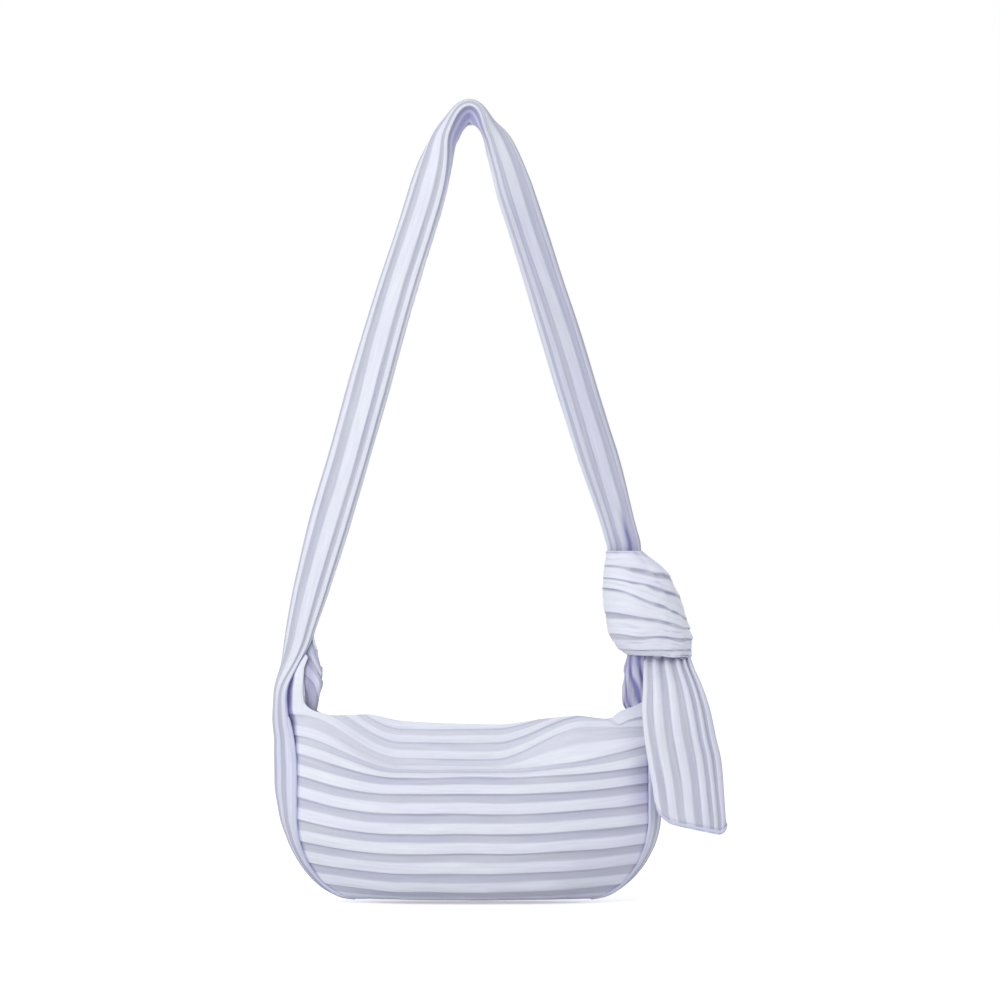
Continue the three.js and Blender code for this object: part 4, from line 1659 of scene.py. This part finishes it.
@dataclass
class SideTie(Strip):
    """Right gusset that gathers into the short tie under the knot.

    Attributes:
        flat: width and length of the strip laid flat, in metres; not used.
        flat_area: its area, which the taper makes smaller, in square metres; not used.
        bulge: how far the gusset stands out, by height over the base.
        wide: half of the tie's width where it leaves the gusset.
        narrow: half of it at the knot.
        thick: half of the tie's thickness.
        fold_rise: height of its slanting folds.
    """

    name: str = "tie_and_gusset_cloth"
    stands_for: tuple[str, ...] = ("right_gusset",)
    columns: int = 84
    rows: int = 190
    flat: tuple[float, float] = (0.052, 0.2)
    flat_area: float = 0.0088
    bulge: Curve = Curve(
        (0, 0.0), (2, 0.5), (10, 1.6), (20, 3.2), (33, 5.2), (52, 7.4), (75, 7.6), (100, 6.0), (120, 4.0),
        (160, 4.0),
    )
    wide: float = 8.0
    narrow: float = 6.5
    thick: float = 7.0
    fold_rise: float = 0.75

    def route(self) -> Route:
        """Route from the gusset's tip on the base into the knot."""
        neck = [(117.0, -404.0), (111.8, -390.0), (111.8, -373.0), (113.0, -356.0), (113.0, -346.0)]
        return Route(self.seam_points(Side.RIGHT, SEAM_HEIGHTS) + neck)

    def station(self, length: float) -> Station:
        """Opens the strip over the gusset and gathers it above.

        Args:
            length: length along the route.

        Returns:
            The section there.
        """
        height = self.path.up(length) - BASE_Z
        return Station(
            centre=self.path.at(length),
            outward=-self.path.outward(length),
            half_width=lerp(self.narrow, self.wide, smooth(170.0, 140.0, height)),
            half_thick=self.thick,
            bulge=self.bulge(height),
            half_open=self.outline.depth(Side.RIGHT, height),
            closed=smooth(108.0, 136.0, height),
            turn=0.0,
        )

    def shade(self, t: float, length: float) -> float:
        """Finds the painted shade of the folds that lie in the shade of the knot and the tail.

        Args:
            t: share across the strip.
            length: length along the route.

        Returns:
            The painted shade.
        """
        height = self.path.up(length) - BASE_Z
        # Painted shade deep in the slanting folds, along the seams and beside the tail, where the tie lies in
        # shadow
        seam = self.seam_shade * smooth(0.9, 1.0, abs(t)) * smooth(130.0, 110.0, height)
        seam *= smooth(1.0, 8.0, height)
        deep = smooth(0.1, -0.9, self.wave(t, length))
        beside_tail = 0.2 * smooth(40.0, 70.0, height)
        return seam + beside_tail + (0.18 + 0.6 * deep) * smooth(112.0, 138.0, height)

    def wave(self, t: float, length: float) -> float:
        """Wave of the slanting folds where the tie is drawn together."""
        drift = 0.5 * wander(1.5 * t, 0.05 * length, self.seed + 4)
        return math.cos(math.tau * (3.3 * t + length / 26.0 + drift))

    def crossing(self, t: float, length: float) -> float:
        """Slanting folds above the gusset."""
        height = self.path.up(length) - BASE_Z
        return self.fold_rise * self.wave(t, length) * smooth(116.0, 140.0, height)

    def build(self, finishes: Finishes) -> list[bpy.types.Object]:
        """Makes the strip, which the knot holds.

        Args:
            finishes: the materials.

        Returns:
            The piece.
        """
        piece = self.cloth(finishes)
        return [piece]


@dataclass
class Welt:
    """Narrow rolled ridge along one seam.

    Attributes:
        side: end of the bag.
        face: broad face of the bag.
        radius: half of its thickness.
        low: height over the base where it starts.
        high: height where it ends.
        proud: how far it stands out over the seam.
        grid: grid steps round it and along it.
        outline: the seam line that it follows.
    """

    side: Side
    face: Face
    radius: float = 1.3
    low: float = 0.7
    high: float = 124.0
    proud: float = 0.4
    grid: tuple[int, int] = (12, 110)
    outline: Outline = Outline()

    def spot(self, t: float, v: float) -> Spot:
        """Finds a point of the roll.

        Args:
            t: share round the roll, from -1 to 1.
            v: grid place along it, from -1 to 1.

        Returns:
            The point.
        """
        share = 0.5 * (v + 1.0)
        height = lerp(self.low, self.high, share ** 1.6)
        angle = math.pi * t
        ends = math.sqrt(max(1.0 - abs(2.0 * share - 1.0) ** 30, 0.0))
        radius = self.radius * max(ends, 0.05) * lerp(0.35, 1.0, smooth(0.0, 0.14, share))
        above = self.outline.edge_x(self.side, height + 1.0)
        below = self.outline.edge_x(self.side, max(height - 1.0, 0.2))
        outward = Vector((self.side.value * 2.0, 0.0, -self.side.value * (above - below))).normalized()
        forward = Vector((0.0, self.face.value, 0.0))
        depth = self.outline.depth(self.side, height) + self.proud
        place = Vector((self.outline.edge_x(self.side, height), self.face.value * depth, BASE_Z + height))
        place += (outward * math.cos(angle) + forward * math.sin(angle)) * radius
        return Spot(place, t, height / PITCH)

    def build(self, finishes: Finishes) -> list[bpy.types.Object]:
        """Makes the ridge and hands it to the bag's body.

        Args:
            finishes: the materials.

        Returns:
            The piece.
        """
        name = f"{self.face.name.lower()}_{self.side.name.lower()}_welt"
        turned = self.side.value * self.face.value < 0
        piece = ClothPatch(
            f"{name}_cloth", (name,), *self.grid, self.spot, Slot.SEAM,
            thickness=0.0, tube=True, flip=turned,
        ).build(finishes)
        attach(piece, "bag")
        return [piece]


@dataclass
class Knot:
    """The strap's end wound round the tie in pleated bands that hang down to the right.

    Attributes:
        left: across and up of each band line at the left edge, from the top.
        right: the same at the right edge.
        half_depth: half depth at each band line.
        band_grid: grid steps round the bands and up them.
        core_grid: the same of the bundle.
        flat: width and length of the wound band laid flat, in metres; not used.
        thickness: thickness of the wound cloth.
        fold: how far each band stands out over the next one.
        lip: how many bands the cloth turns in at its ends.
        end_shrink: share by which the turned-in ends are narrower.
        end_tuck: how far they reach back into the knot.
        squareness: power of the section, 1 for an ellipse and less for a fuller form.
        sag: power by which the bands fall to the right.
        wrap: length of half a turn round the knot.
        row_draw: how far the grid rows draw together at the band lines.
        seed: start of its irregular waves.
        core_low: across and up of the bundle's lower end.
        core_high: the same of its upper end.
        core_half: half of the bundle's width, by share up it.
        core_deep: half of its depth.
        left_x: left edge across, by band.
        left_z: left edge up.
        right_x: right edge across.
        right_z: right edge up.
        deep: half depth.
        count: number of bands.
    """

    left: Line = (
        (92.0, -288.0), (90.8, -297.6), (90.0, -306.0), (89.6, -313.5), (90.7, -328.9), (94.0, -344.1),
        (100.5, -354.4), (106.5, -358.4),
    )
    right: Line = (
        (116.2, -288.0), (135.0, -304.8), (140.9, -318.0), (146.2, -333.4), (148.6, -340.5), (149.8, -347.0),
        (149.8, -354.0), (149.6, -360.2),
    )
    half_depth: tuple[float, ...] = (9.5, 16.5, 20.5, 23.0, 23.0, 21.0, 18.0, 14.5)
    band_grid: tuple[int, int] = (200, 170)
    core_grid: tuple[int, int] = (64, 40)
    flat: tuple[float, float] = (0.09, 0.17)
    thickness: float = 1.4
    fold: float = 1.2
    lip: float = 0.4
    end_shrink: float = 0.45
    end_tuck: float = 5.0
    squareness: float = 0.88
    sag: float = 1.7
    wrap: float = 60.0
    row_draw: float = 0.6
    seed: int = 30
    core_low: tuple[float, float] = (127.0, -359.5)
    core_high: tuple[float, float] = (108.0, -292.0)
    core_half: Curve = Curve((0, 3.0), (0.08, 15.0), (0.3, 19.0), (0.8, 12.0), (1.0, 8.0))
    core_deep: Curve = Curve((0, 2.0), (0.08, 6.5), (0.3, 12.0), (0.8, 8.0), (1.0, 5.0))
    left_x: Curve = field(init=False)
    left_z: Curve = field(init=False)
    right_x: Curve = field(init=False)
    right_z: Curve = field(init=False)
    deep: Curve = field(init=False)
    count: int = field(init=False)

    def __post_init__(self) -> None:
        """Lays smooth lines through the band lines."""
        self.left_x, self.left_z = (Curve(*enumerate(values)) for values in zip(*self.left))
        self.right_x, self.right_z = (Curve(*enumerate(values)) for values in zip(*self.right))
        self.deep = Curve(*enumerate(self.half_depth))
        self.count = len(self.left) - 1

    def ring(self, band: float, angle: float) -> Vector:
        """Finds a place on the smooth form of the knot.

        Args:
            band: band count from the top, beyond the ends where the cloth turns in.
            angle: angle round the knot.

        Returns:
            The place.
        """
        inside = max(-band, band - self.count, 0.0) / self.lip
        level = min(max(band, 0.0), float(self.count))
        shrink = 1.0 - self.end_shrink * smooth(0.0, 1.0, inside)
        tuck = self.end_tuck * smooth(0.0, 1.0, inside) * (1.0 if band > 1.0 else -1.0)
        left, right = self.left_x(level), self.right_x(level)
        middle, half = 0.5 * (left + right), 0.5 * (right - left) * shrink
        x = middle + half * wave_power(math.cos(angle), self.squareness)
        share = (x - left) / (right - left)
        z = lerp(self.left_z(level), self.right_z(level), max(share, 0.0) ** self.sag)
        y = self.deep(level) * shrink * wave_power(math.sin(angle), self.squareness)
        return Vector((x, y, z + tuck))

    def _press(self, around: float, line: int) -> float:
        """Share to which a band line is pressed to a sharp fold at a place round the knot."""
        return smooth(-0.32, 0.38, wander(2.2 * around, 2.7 * line, self.seed + 1))

    def _stripe(self, around: float, line: int, within: float) -> float:
        """Finds the stripe that a band shows: lilac at its upper edge, then white.

        Args:
            around: place round the knot.
            line: number of the band.
            within: share of the way down the band.

        Returns:
            The stripe count.
        """
        lilac = 0.13 + 0.17 * smooth(-0.4, 0.4, wander(1.1 * around, 1.7 * line, self.seed + 3))
        if line < 1:
            lilac = 0.005
        shown = LIP + (1.0 - 2.0 * LIP) * min(within / lilac, 1.0)
        shown += 2.0 * LIP * max((within - lilac) / (1.0 - lilac), 0.0)
        return -line - shown

    def spot(self, t: float, v: float) -> Spot:
        """Finds a point of the wound bands.

        Args:
            t: share round the knot, from -1 to 1.
            v: grid place up the knot, from -1 to 1.

        Returns:
            The point.
        """
        angle = math.pi * t
        around = 1.5 * math.cos(angle) + 0.9 * math.sin(angle)
        row = lerp(self.count + self.lip, -self.lip, 0.5 * (v + 1.0))
        band = row - self.row_draw / math.tau * math.sin(math.tau * row)
        line = math.floor(band)
        within = band - line
        inside = 1.0 if 0.0 <= band <= self.count else 0.0
        sway = 0.16 * wander(1.6 * around, 1.3 * band, self.seed + 4) * math.sin(math.pi * band / self.count)
        press = self._press(around, line)
        rise = self.fold * lerp(press, self._press(around, line + 1), within) * smooth(0.0, 0.4, band)
        rise *= smooth(self.count - 0.4, self.count - 1.6, band)
        saw = within - 0.5 + 1.0 - smooth(0.0, 0.08, within)
        middle = 0.5 + 0.35 * wander(0.8 * around, 1.9 * line, self.seed + 5)
        minor = smooth(0.0, 0.35, wander(1.5 * around, 3.1 * line, self.seed + 6))
        minor *= bump(middle, 0.045, within)
        slack = 0.9 * wander(1.4 * around, 1.1 * band, self.seed + 2)
        slack += 0.35 * wander(2.5 * around, 4.0 * band, self.seed + 7)
        relief = (slack * smooth(0.0, 0.5, band) + rise * saw - 0.5 * minor) * inside
        # Painted shadow: a dark line just under each band's lip and in the minor folds, and painted shade at
        # the bottom rim and the turned-in ends
        under = smooth(0.02, 0.06, within) * smooth(0.3, 0.07, within)
        shade = 0.38 * lerp(0.1, 1.0, press) * under + 0.22 * minor
        rim = 0.35 * smooth(self.count - 0.1, self.count, band) + 0.3 * (1.0 - inside)
        place = self.ring(band + sway * inside, angle)
        stripe = self._stripe(around, line, within)
        return Spot(place, stripe, self.wrap * t / PITCH, relief, shade * inside + rim)

    def core_spot(self, t: float, v: float) -> Spot:
        """Finds a point of the gathered bundle inside the bands.

        Args:
            t: share round the bundle, from -1 to 1.
            v: grid place up it, from -1 to 1.

        Returns:
            The point.
        """
        share = 0.5 * (v + 1.0)
        angle = math.pi * t
        gather = 1.0 + 0.06 * math.cos(9.0 * angle)
        x = lerp(self.core_high[0], self.core_low[0], smooth(1.0, 0.0, share))
        x += self.core_half(share) * gather * math.cos(angle)
        y = self.core_deep(share) * gather * math.sin(angle)
        place = Vector((x, y, lerp(self.core_low[1], self.core_high[1], share)))
        # Painted shade over the whole bundle, deep inside the bands
        return Spot(place, 3.0 * t, 5.0 * share, 0.0, 0.5)

    def build(self, finishes: Finishes) -> list[bpy.types.Object]:
        """Makes the bands and the bundle inside them, carried by the strap.

        Args:
            finishes: the materials.

        Returns:
            The pieces.
        """
        band = ClothPatch(
            "knot_band_cloth", ("knot_band",), *self.band_grid, self.spot,
            thickness=self.thickness, tube=True,
        ).build(finishes)
        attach(band, "strap_loop")
        core = ClothPatch(
            "knot_core_cloth", ("knot_core",), *self.core_grid, self.core_spot, Slot.SEAM,
            thickness=0.0, tube=True,
        ).build(finishes)
        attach(core, "strap_loop")
        return [band, core]


@dataclass
class Tail:
    """Free end of the strap that fans out below the knot.

    Attributes:
        left: left edge, as (height, across) pairs from the hem up.
        right: right edge.
        forward: how far it stands in front of the middle plane, by height.
        half_thick: half of its thickness, by height.
        stripes: stripe count by share across.
        end_left: height of the slanted end at the left.
        end_right: height of it at the right.
        corner_left: radius of the end's round corner at the left.
        corner_right: radius of the one at the right.
        end_width: width of the end.
        top: height where it leaves the knot.
        hem: height of the sewn hem.
        root_share: share of its length that is the gathered root.
        length: length of its stripes.
        pleat_rise: height of its pleats at the knot and at the end.
        stripe_round: roundness of its stripes at the knot and at the end.
        slack: depth of its slow waves.
        thickness: thickness of its cloth.
        root_grid: grid steps round the root and up it.
        fan_grid: the same of the fan.
        hem_grid: the same of the hem.
        root_flat: width and length of the root laid flat, in metres; not used.
        fan_flat: the same of the fan with its hem; not used.
        seed: start of its irregular waves.
    """

    left: Curve = Curve(
        (-470, 127.6), (-463, 125.6), (-443.5, 122.9), (-425, 119.5), (-407, 116.9), (-393.5, 116.0),
        (-380, 116.8), (-366.5, 117.6), (-356, 119.0), (-348, 121.0),
    )
    right: Curve = Curve(
        (-479, 171.0), (-468.5, 171.8), (-452, 170.9), (-429.3, 169.2), (-411.8, 165.4), (-393.5, 161.8),
        (-378, 156.8), (-366, 151.5), (-356, 148.0), (-348, 145.0),
    )
    forward: Curve = Curve(
        (-480, 30.0), (-430, 30.0), (-405, 29.0), (-392, 26.5), (-378, 19.0), (-366, 8.0), (-359, 3.0),
        (-346, 2.0),
    )
    half_thick: Curve = Curve((-480, 2.6), (-440, 3.4), (-410, 4.2), (-385, 5.2), (-368, 6.0), (-346, 5.0))
    stripes: Curve = Curve(
        (0, 0.0), (0.2, 1.0), (0.46, 2.0), (0.68, 3.0), (0.83, 4.0), (0.94, 5.0), (1.0, 5.5),
    )
    end_left: float = -467.6
    end_right: float = -477.8
    corner_left: float = 9.0
    corner_right: float = 6.0
    end_width: float = 45.0
    top: float = -348.0
    hem: float = 2.4
    root_share: float = 0.3
    length: float = 130.0
    pleat_rise: tuple[float, float] = (1.5, 1.1)
    stripe_round: tuple[float, float] = (0.8, 0.35)
    slack: float = 0.9
    thickness: float = 1.1
    root_grid: tuple[int, int] = (200, 45)
    fan_grid: tuple[int, int] = (200, 105)
    hem_grid: tuple[int, int] = (160, 12)
    root_flat: tuple[float, float] = (0.105, 0.043)
    fan_flat: tuple[float, float] = (0.105, 0.093)
    seed: int = 40

    def end(self, share: float) -> float:
        """Finds the slanted end with its two round corners.

        Args:
            share: share across the tail.

        Returns:
            Height of the end.
        """
        height = lerp(self.end_left, self.end_right, share ** 0.75)
        for radius, reach in ((self.corner_left, share), (self.corner_right, 1.0 - share)):
            short = max(1.0 - reach * self.end_width / radius, 0.0)
            height += radius * (1.0 - math.sqrt(max(1.0 - short * short, 0.0)))
        return height

    def across(self, t: float) -> float:
        """Share across the tail at a share round its tube."""
        return 0.5 + 0.5 * wave_power(math.cos(math.pi * t), 0.9)

    def place(self, t: float, drop: float, swell: float = 0.0, shut: float = 0.0) -> Vector:
        """Finds a place on the flattened tube.

        Args:
            t: share round the tube, from -1 to 1.
            drop: share of the way down.
            swell: how far it stands out over the cloth.
            shut: share by which front and back are drawn together.

        Returns:
            The place.
        """
        share = self.across(t)
        z = lerp(self.top, self.end(share), drop)
        left, right = self.left(z) - swell, self.right(z) + swell
        slack = self.slack * wander(2.0 * share, 0.03 * z, self.seed + 1)
        thick = (self.half_thick(z) + swell) * (1.0 - 0.97 * shut)
        y = -self.forward(z) + thick * wave_power(math.sin(math.pi * t), 0.7) + slack
        return Vector((lerp(left, right, share), y, z))

    def root_spot(self, t: float, v: float) -> Spot:
        """Point of the gathered root for its grid place."""
        return self.pleated(t, lerp(self.root_share, 0.0, 0.5 * (v + 1.0)))

    def fan_spot(self, t: float, v: float) -> Spot:
        """Point of the hanging fan for its grid place."""
        return self.pleated(t, lerp(1.0, self.root_share, 0.5 * (v + 1.0)))

    def pleated(self, t: float, drop: float) -> Spot:
        """Finds a point of the tail with its pleats.

        Args:
            t: share round the tube, at the front below 0.
            drop: share of the way down.

        Returns:
            The point.
        """
        share = self.across(t)
        sway = 0.05 * wander(2.6 * share, 1.6 * drop, self.seed + 2)
        warp = share + sway * smooth(0.0, 0.1, share) * smooth(1.0, 0.9, share)
        stripe = self.stripes(warp) if t < 0.0 else 2.0 * self.stripes(1.0) - self.stripes(warp)
        pleat = lerp(*self.stripe_round, drop) * math.cos(math.tau * stripe)
        pleat += 0.8 * wander(4.0 * share, 2.0 * drop, self.seed + 3)
        crumple = 0.4 * wander(9.0 * share, 2.5 * drop, self.seed + 4)
        pleat += lerp(*self.pleat_rise, drop) * knife(stripe, 0.14) + crumple
        # Painted shade under the knot, a painted shadow line just above the hem, and painted shade towards
        # the right
        shade = 0.45 * smooth(0.15, 0.06, drop) + 0.3 * bump(0.974, 0.006, drop)
        shade += 0.1 * smooth(0.3, 1.0, share)
        relief = pleat * smooth(1.0, 0.95, drop)
        return Spot(self.place(t, drop), stripe, self.length * drop / PITCH, relief, shade)

    def hem_spot(self, t: float, v: float) -> Spot:
        """Finds a point of the sewn roll round the slanted end.

        Args:
            t: share round the tube.
            v: grid place up the roll, from -1 to 1.

        Returns:
            The point.
        """
        share = 0.5 * (1.0 - v)
        height = self.top - 0.5 * (self.end_left + self.end_right)
        drop = 1.0 + lerp(-self.hem, 0.6, share) / height
        roll = lerp(0.1, 0.55, math.sqrt(max(1.0 - (2.0 * share - 1.0) ** 4, 0.0)))
        return Spot(self.place(t, drop, roll, smooth(0.55, 1.0, share)), 9.0 * t, share)

    def build(self, finishes: Finishes) -> list[bpy.types.Object]:
        """Makes the root, which bends under the knot, and the fan and hem, which bend at the tail's fold.

        Args:
            finishes: the materials.

        Returns:
            The pieces.
        """
        root = ClothPatch(
            "tail_root_cloth", ("tail_root",), *self.root_grid, self.root_spot,
            thickness=self.thickness, tube=True, rim=False,
        ).build(finishes)
        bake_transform(root, "strap_loop", "bag", start=ROOT_BEND[0], end=ROOT_BEND[1])
        fan = ClothPatch(
            "tail_cloth", ("tail",), *self.fan_grid, self.fan_spot,
            thickness=self.thickness, tube=True, rim=False,
        ).build(finishes)
        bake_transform(fan, "bag", "tail", start=TAIL_BEND[0], end=TAIL_BEND[1])
        hem = ClothPatch(
            "tail_hem_cloth", ("tail_hem",), *self.hem_grid, self.hem_spot, Slot.SEAM,
            thickness=0.0, tube=True,
        ).build(finishes)
        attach(hem, "tail")
        return [root, fan, hem]


@dataclass
class Studio:
    """White surround, soft light and the camera of the photograph.

    Attributes:
        floor_z: height of the floor, in millimetres.
        floor_size: half of the floor's width, in metres.
        floor_tone: colour of the floor.
        floor_glow: how much the floor shines to the camera, so that it is white beside the shadow.
        white: colour of the surround to the camera.
        sky: colour of the surround as a light.
        ambient: strength of the surround as a light.
        key: power of the large lamp.
        key_place: its place, in metres.
        key_size: its width.
        fill: power of the lamp at the other side.
        fill_place: its place.
        fill_size: its width.
        aim: where both lamps point.
        eye: place of the camera, in metres.
        lens: focal length for the field of the photograph.
        sensor: width of the camera's sensor.
    """

    floor_z: float = -525.5
    floor_size: float = 6.0
    floor_tone: Colour = (0.9, 0.9, 0.9, 1.0)
    floor_glow: float = 0.45
    white: Colour = (1.0, 1.0, 1.0, 1.0)
    sky: Colour = (0.93, 0.94, 1.0, 1.0)
    ambient: float = 0.74
    key: float = 30.0
    key_place: tuple[float, float, float] = (-1.75, -2.0, 0.95)
    key_size: float = 1.5
    fill: float = 3.0
    fill_place: tuple[float, float, float] = (1.6, -2.0, 0.1)
    fill_size: float = 1.8
    aim: tuple[float, float, float] = (0.0, 0.0, -0.3)
    eye: tuple[float, float, float] = (0.02025, -3.0, -0.2538)
    lens: float = 160.0
    sensor: float = 36.0

    def build(self) -> None:
        """Makes the surround, the lamps and the camera."""
        self._world()
        self._floor()
        self._lamp("key", self.key_place, self.key_size, self.key)
        self._lamp("fill", self.fill_place, self.fill_size, self.fill)
        self._camera()
        bpy.context.scene.view_settings.view_transform = "Standard"

    def _world(self) -> None:
        """Makes the surround, white to the camera and softer as a light."""
        world = bpy.data.worlds.new("studio")
        bpy.context.scene.world = world
        world.use_nodes = True
        nodes = Nodes(world.node_tree)
        path = nodes.add("ShaderNodeLightPath")
        seen = nodes.math("MAXIMUM", path.outputs["Is Camera Ray"], path.outputs["Is Transmission Ray"])
        seen = nodes.math("MAXIMUM", seen, path.outputs["Is Glossy Ray"])
        nodes.placed(world.node_tree.nodes["Background"], {
            "Color": nodes.mix(seen, self.sky, self.white),
            "Strength": nodes.math("ADD", self.ambient, nodes.times(seen, 1.0 - self.ambient)),
        })

    def _floor(self) -> None:
        """Makes the wide white floor, which keeps a soft shadow under the bag."""
        sheet = bmesh.new()
        bmesh.ops.create_grid(sheet, x_segments=2, y_segments=2, size=self.floor_size)
        bmesh.ops.translate(sheet, verts=sheet.verts, vec=Vector((0.0, 0.0, self.floor_z * MM)))
        mesh = bpy.data.meshes.new("floor")
        sheet.to_mesh(mesh)
        sheet.free()
        floor = bpy.data.objects.new("floor", mesh)
        bpy.context.scene.collection.objects.link(floor)
        finish = bpy.data.materials.new("floor_white")
        finish.use_nodes = True
        nodes = Nodes(finish.node_tree)
        path = nodes.add("ShaderNodeLightPath")
        nodes.placed(finish.node_tree.nodes["Principled BSDF"], {
            "Base Color": self.floor_tone,
            "Roughness": 1.0,
            "Specular IOR Level": 0.0,
            "Emission Color": self.white,
            "Emission Strength": nodes.times(path.outputs["Is Camera Ray"], self.floor_glow),
        })
        mesh.materials.append(finish)

    def _lamp(self, name: str, place: tuple[float, float, float], size: float, power: float) -> None:
        """Makes a square soft lamp that faces the bag.

        Args:
            name: name of the lamp.
            place: where it stands, in metres.
            size: its width.
            power: its power.
        """
        lamp = bpy.data.lights.new(name, "AREA")
        lamp.size = size
        lamp.energy = power
        holder = bpy.data.objects.new(name, lamp)
        bpy.context.scene.collection.objects.link(holder)
        holder.location = place
        towards = Vector(self.aim) - Vector(place)
        holder.rotation_euler = towards.to_track_quat("-Z", "Y").to_euler()

    def _camera(self) -> None:
        """Makes the camera with a long lens, level with the middle of the photograph."""
        camera = bpy.data.cameras.new("camera")
        camera.sensor_width = self.sensor
        camera.lens = self.lens
        holder = bpy.data.objects.new("camera", camera)
        bpy.context.scene.collection.objects.link(holder)
        holder.location = self.eye
        holder.rotation_euler = (math.radians(90.0), 0.0, 0.0)
        bpy.context.scene.camera = holder


def main() -> None:
    """Builds the bag from its parts, reports each piece and sets it in the studio."""
    logging.basicConfig(level=logging.INFO, format="%(name)s %(message)s")
    finishes = Finishes()
    parts: list[BagPanel | ShoulderStrip | SideTie | Welt | Knot | Tail]
    parts = [BagPanel(FRONT_DRAPE), BagPanel(BACK_DRAPE), ShoulderStrip(), SideTie()]
    parts += [Welt(side, face) for side in Side for face in Face]
    parts += [Knot(), Tail()]
    for part in parts:
        for piece in part.build(finishes):
            LOG.info("made %s with %d faces", piece.name, len(piece.data.polygons))
    Studio().build()
    LOG.info("studio set")


if __name__ == "__main__":
    main()
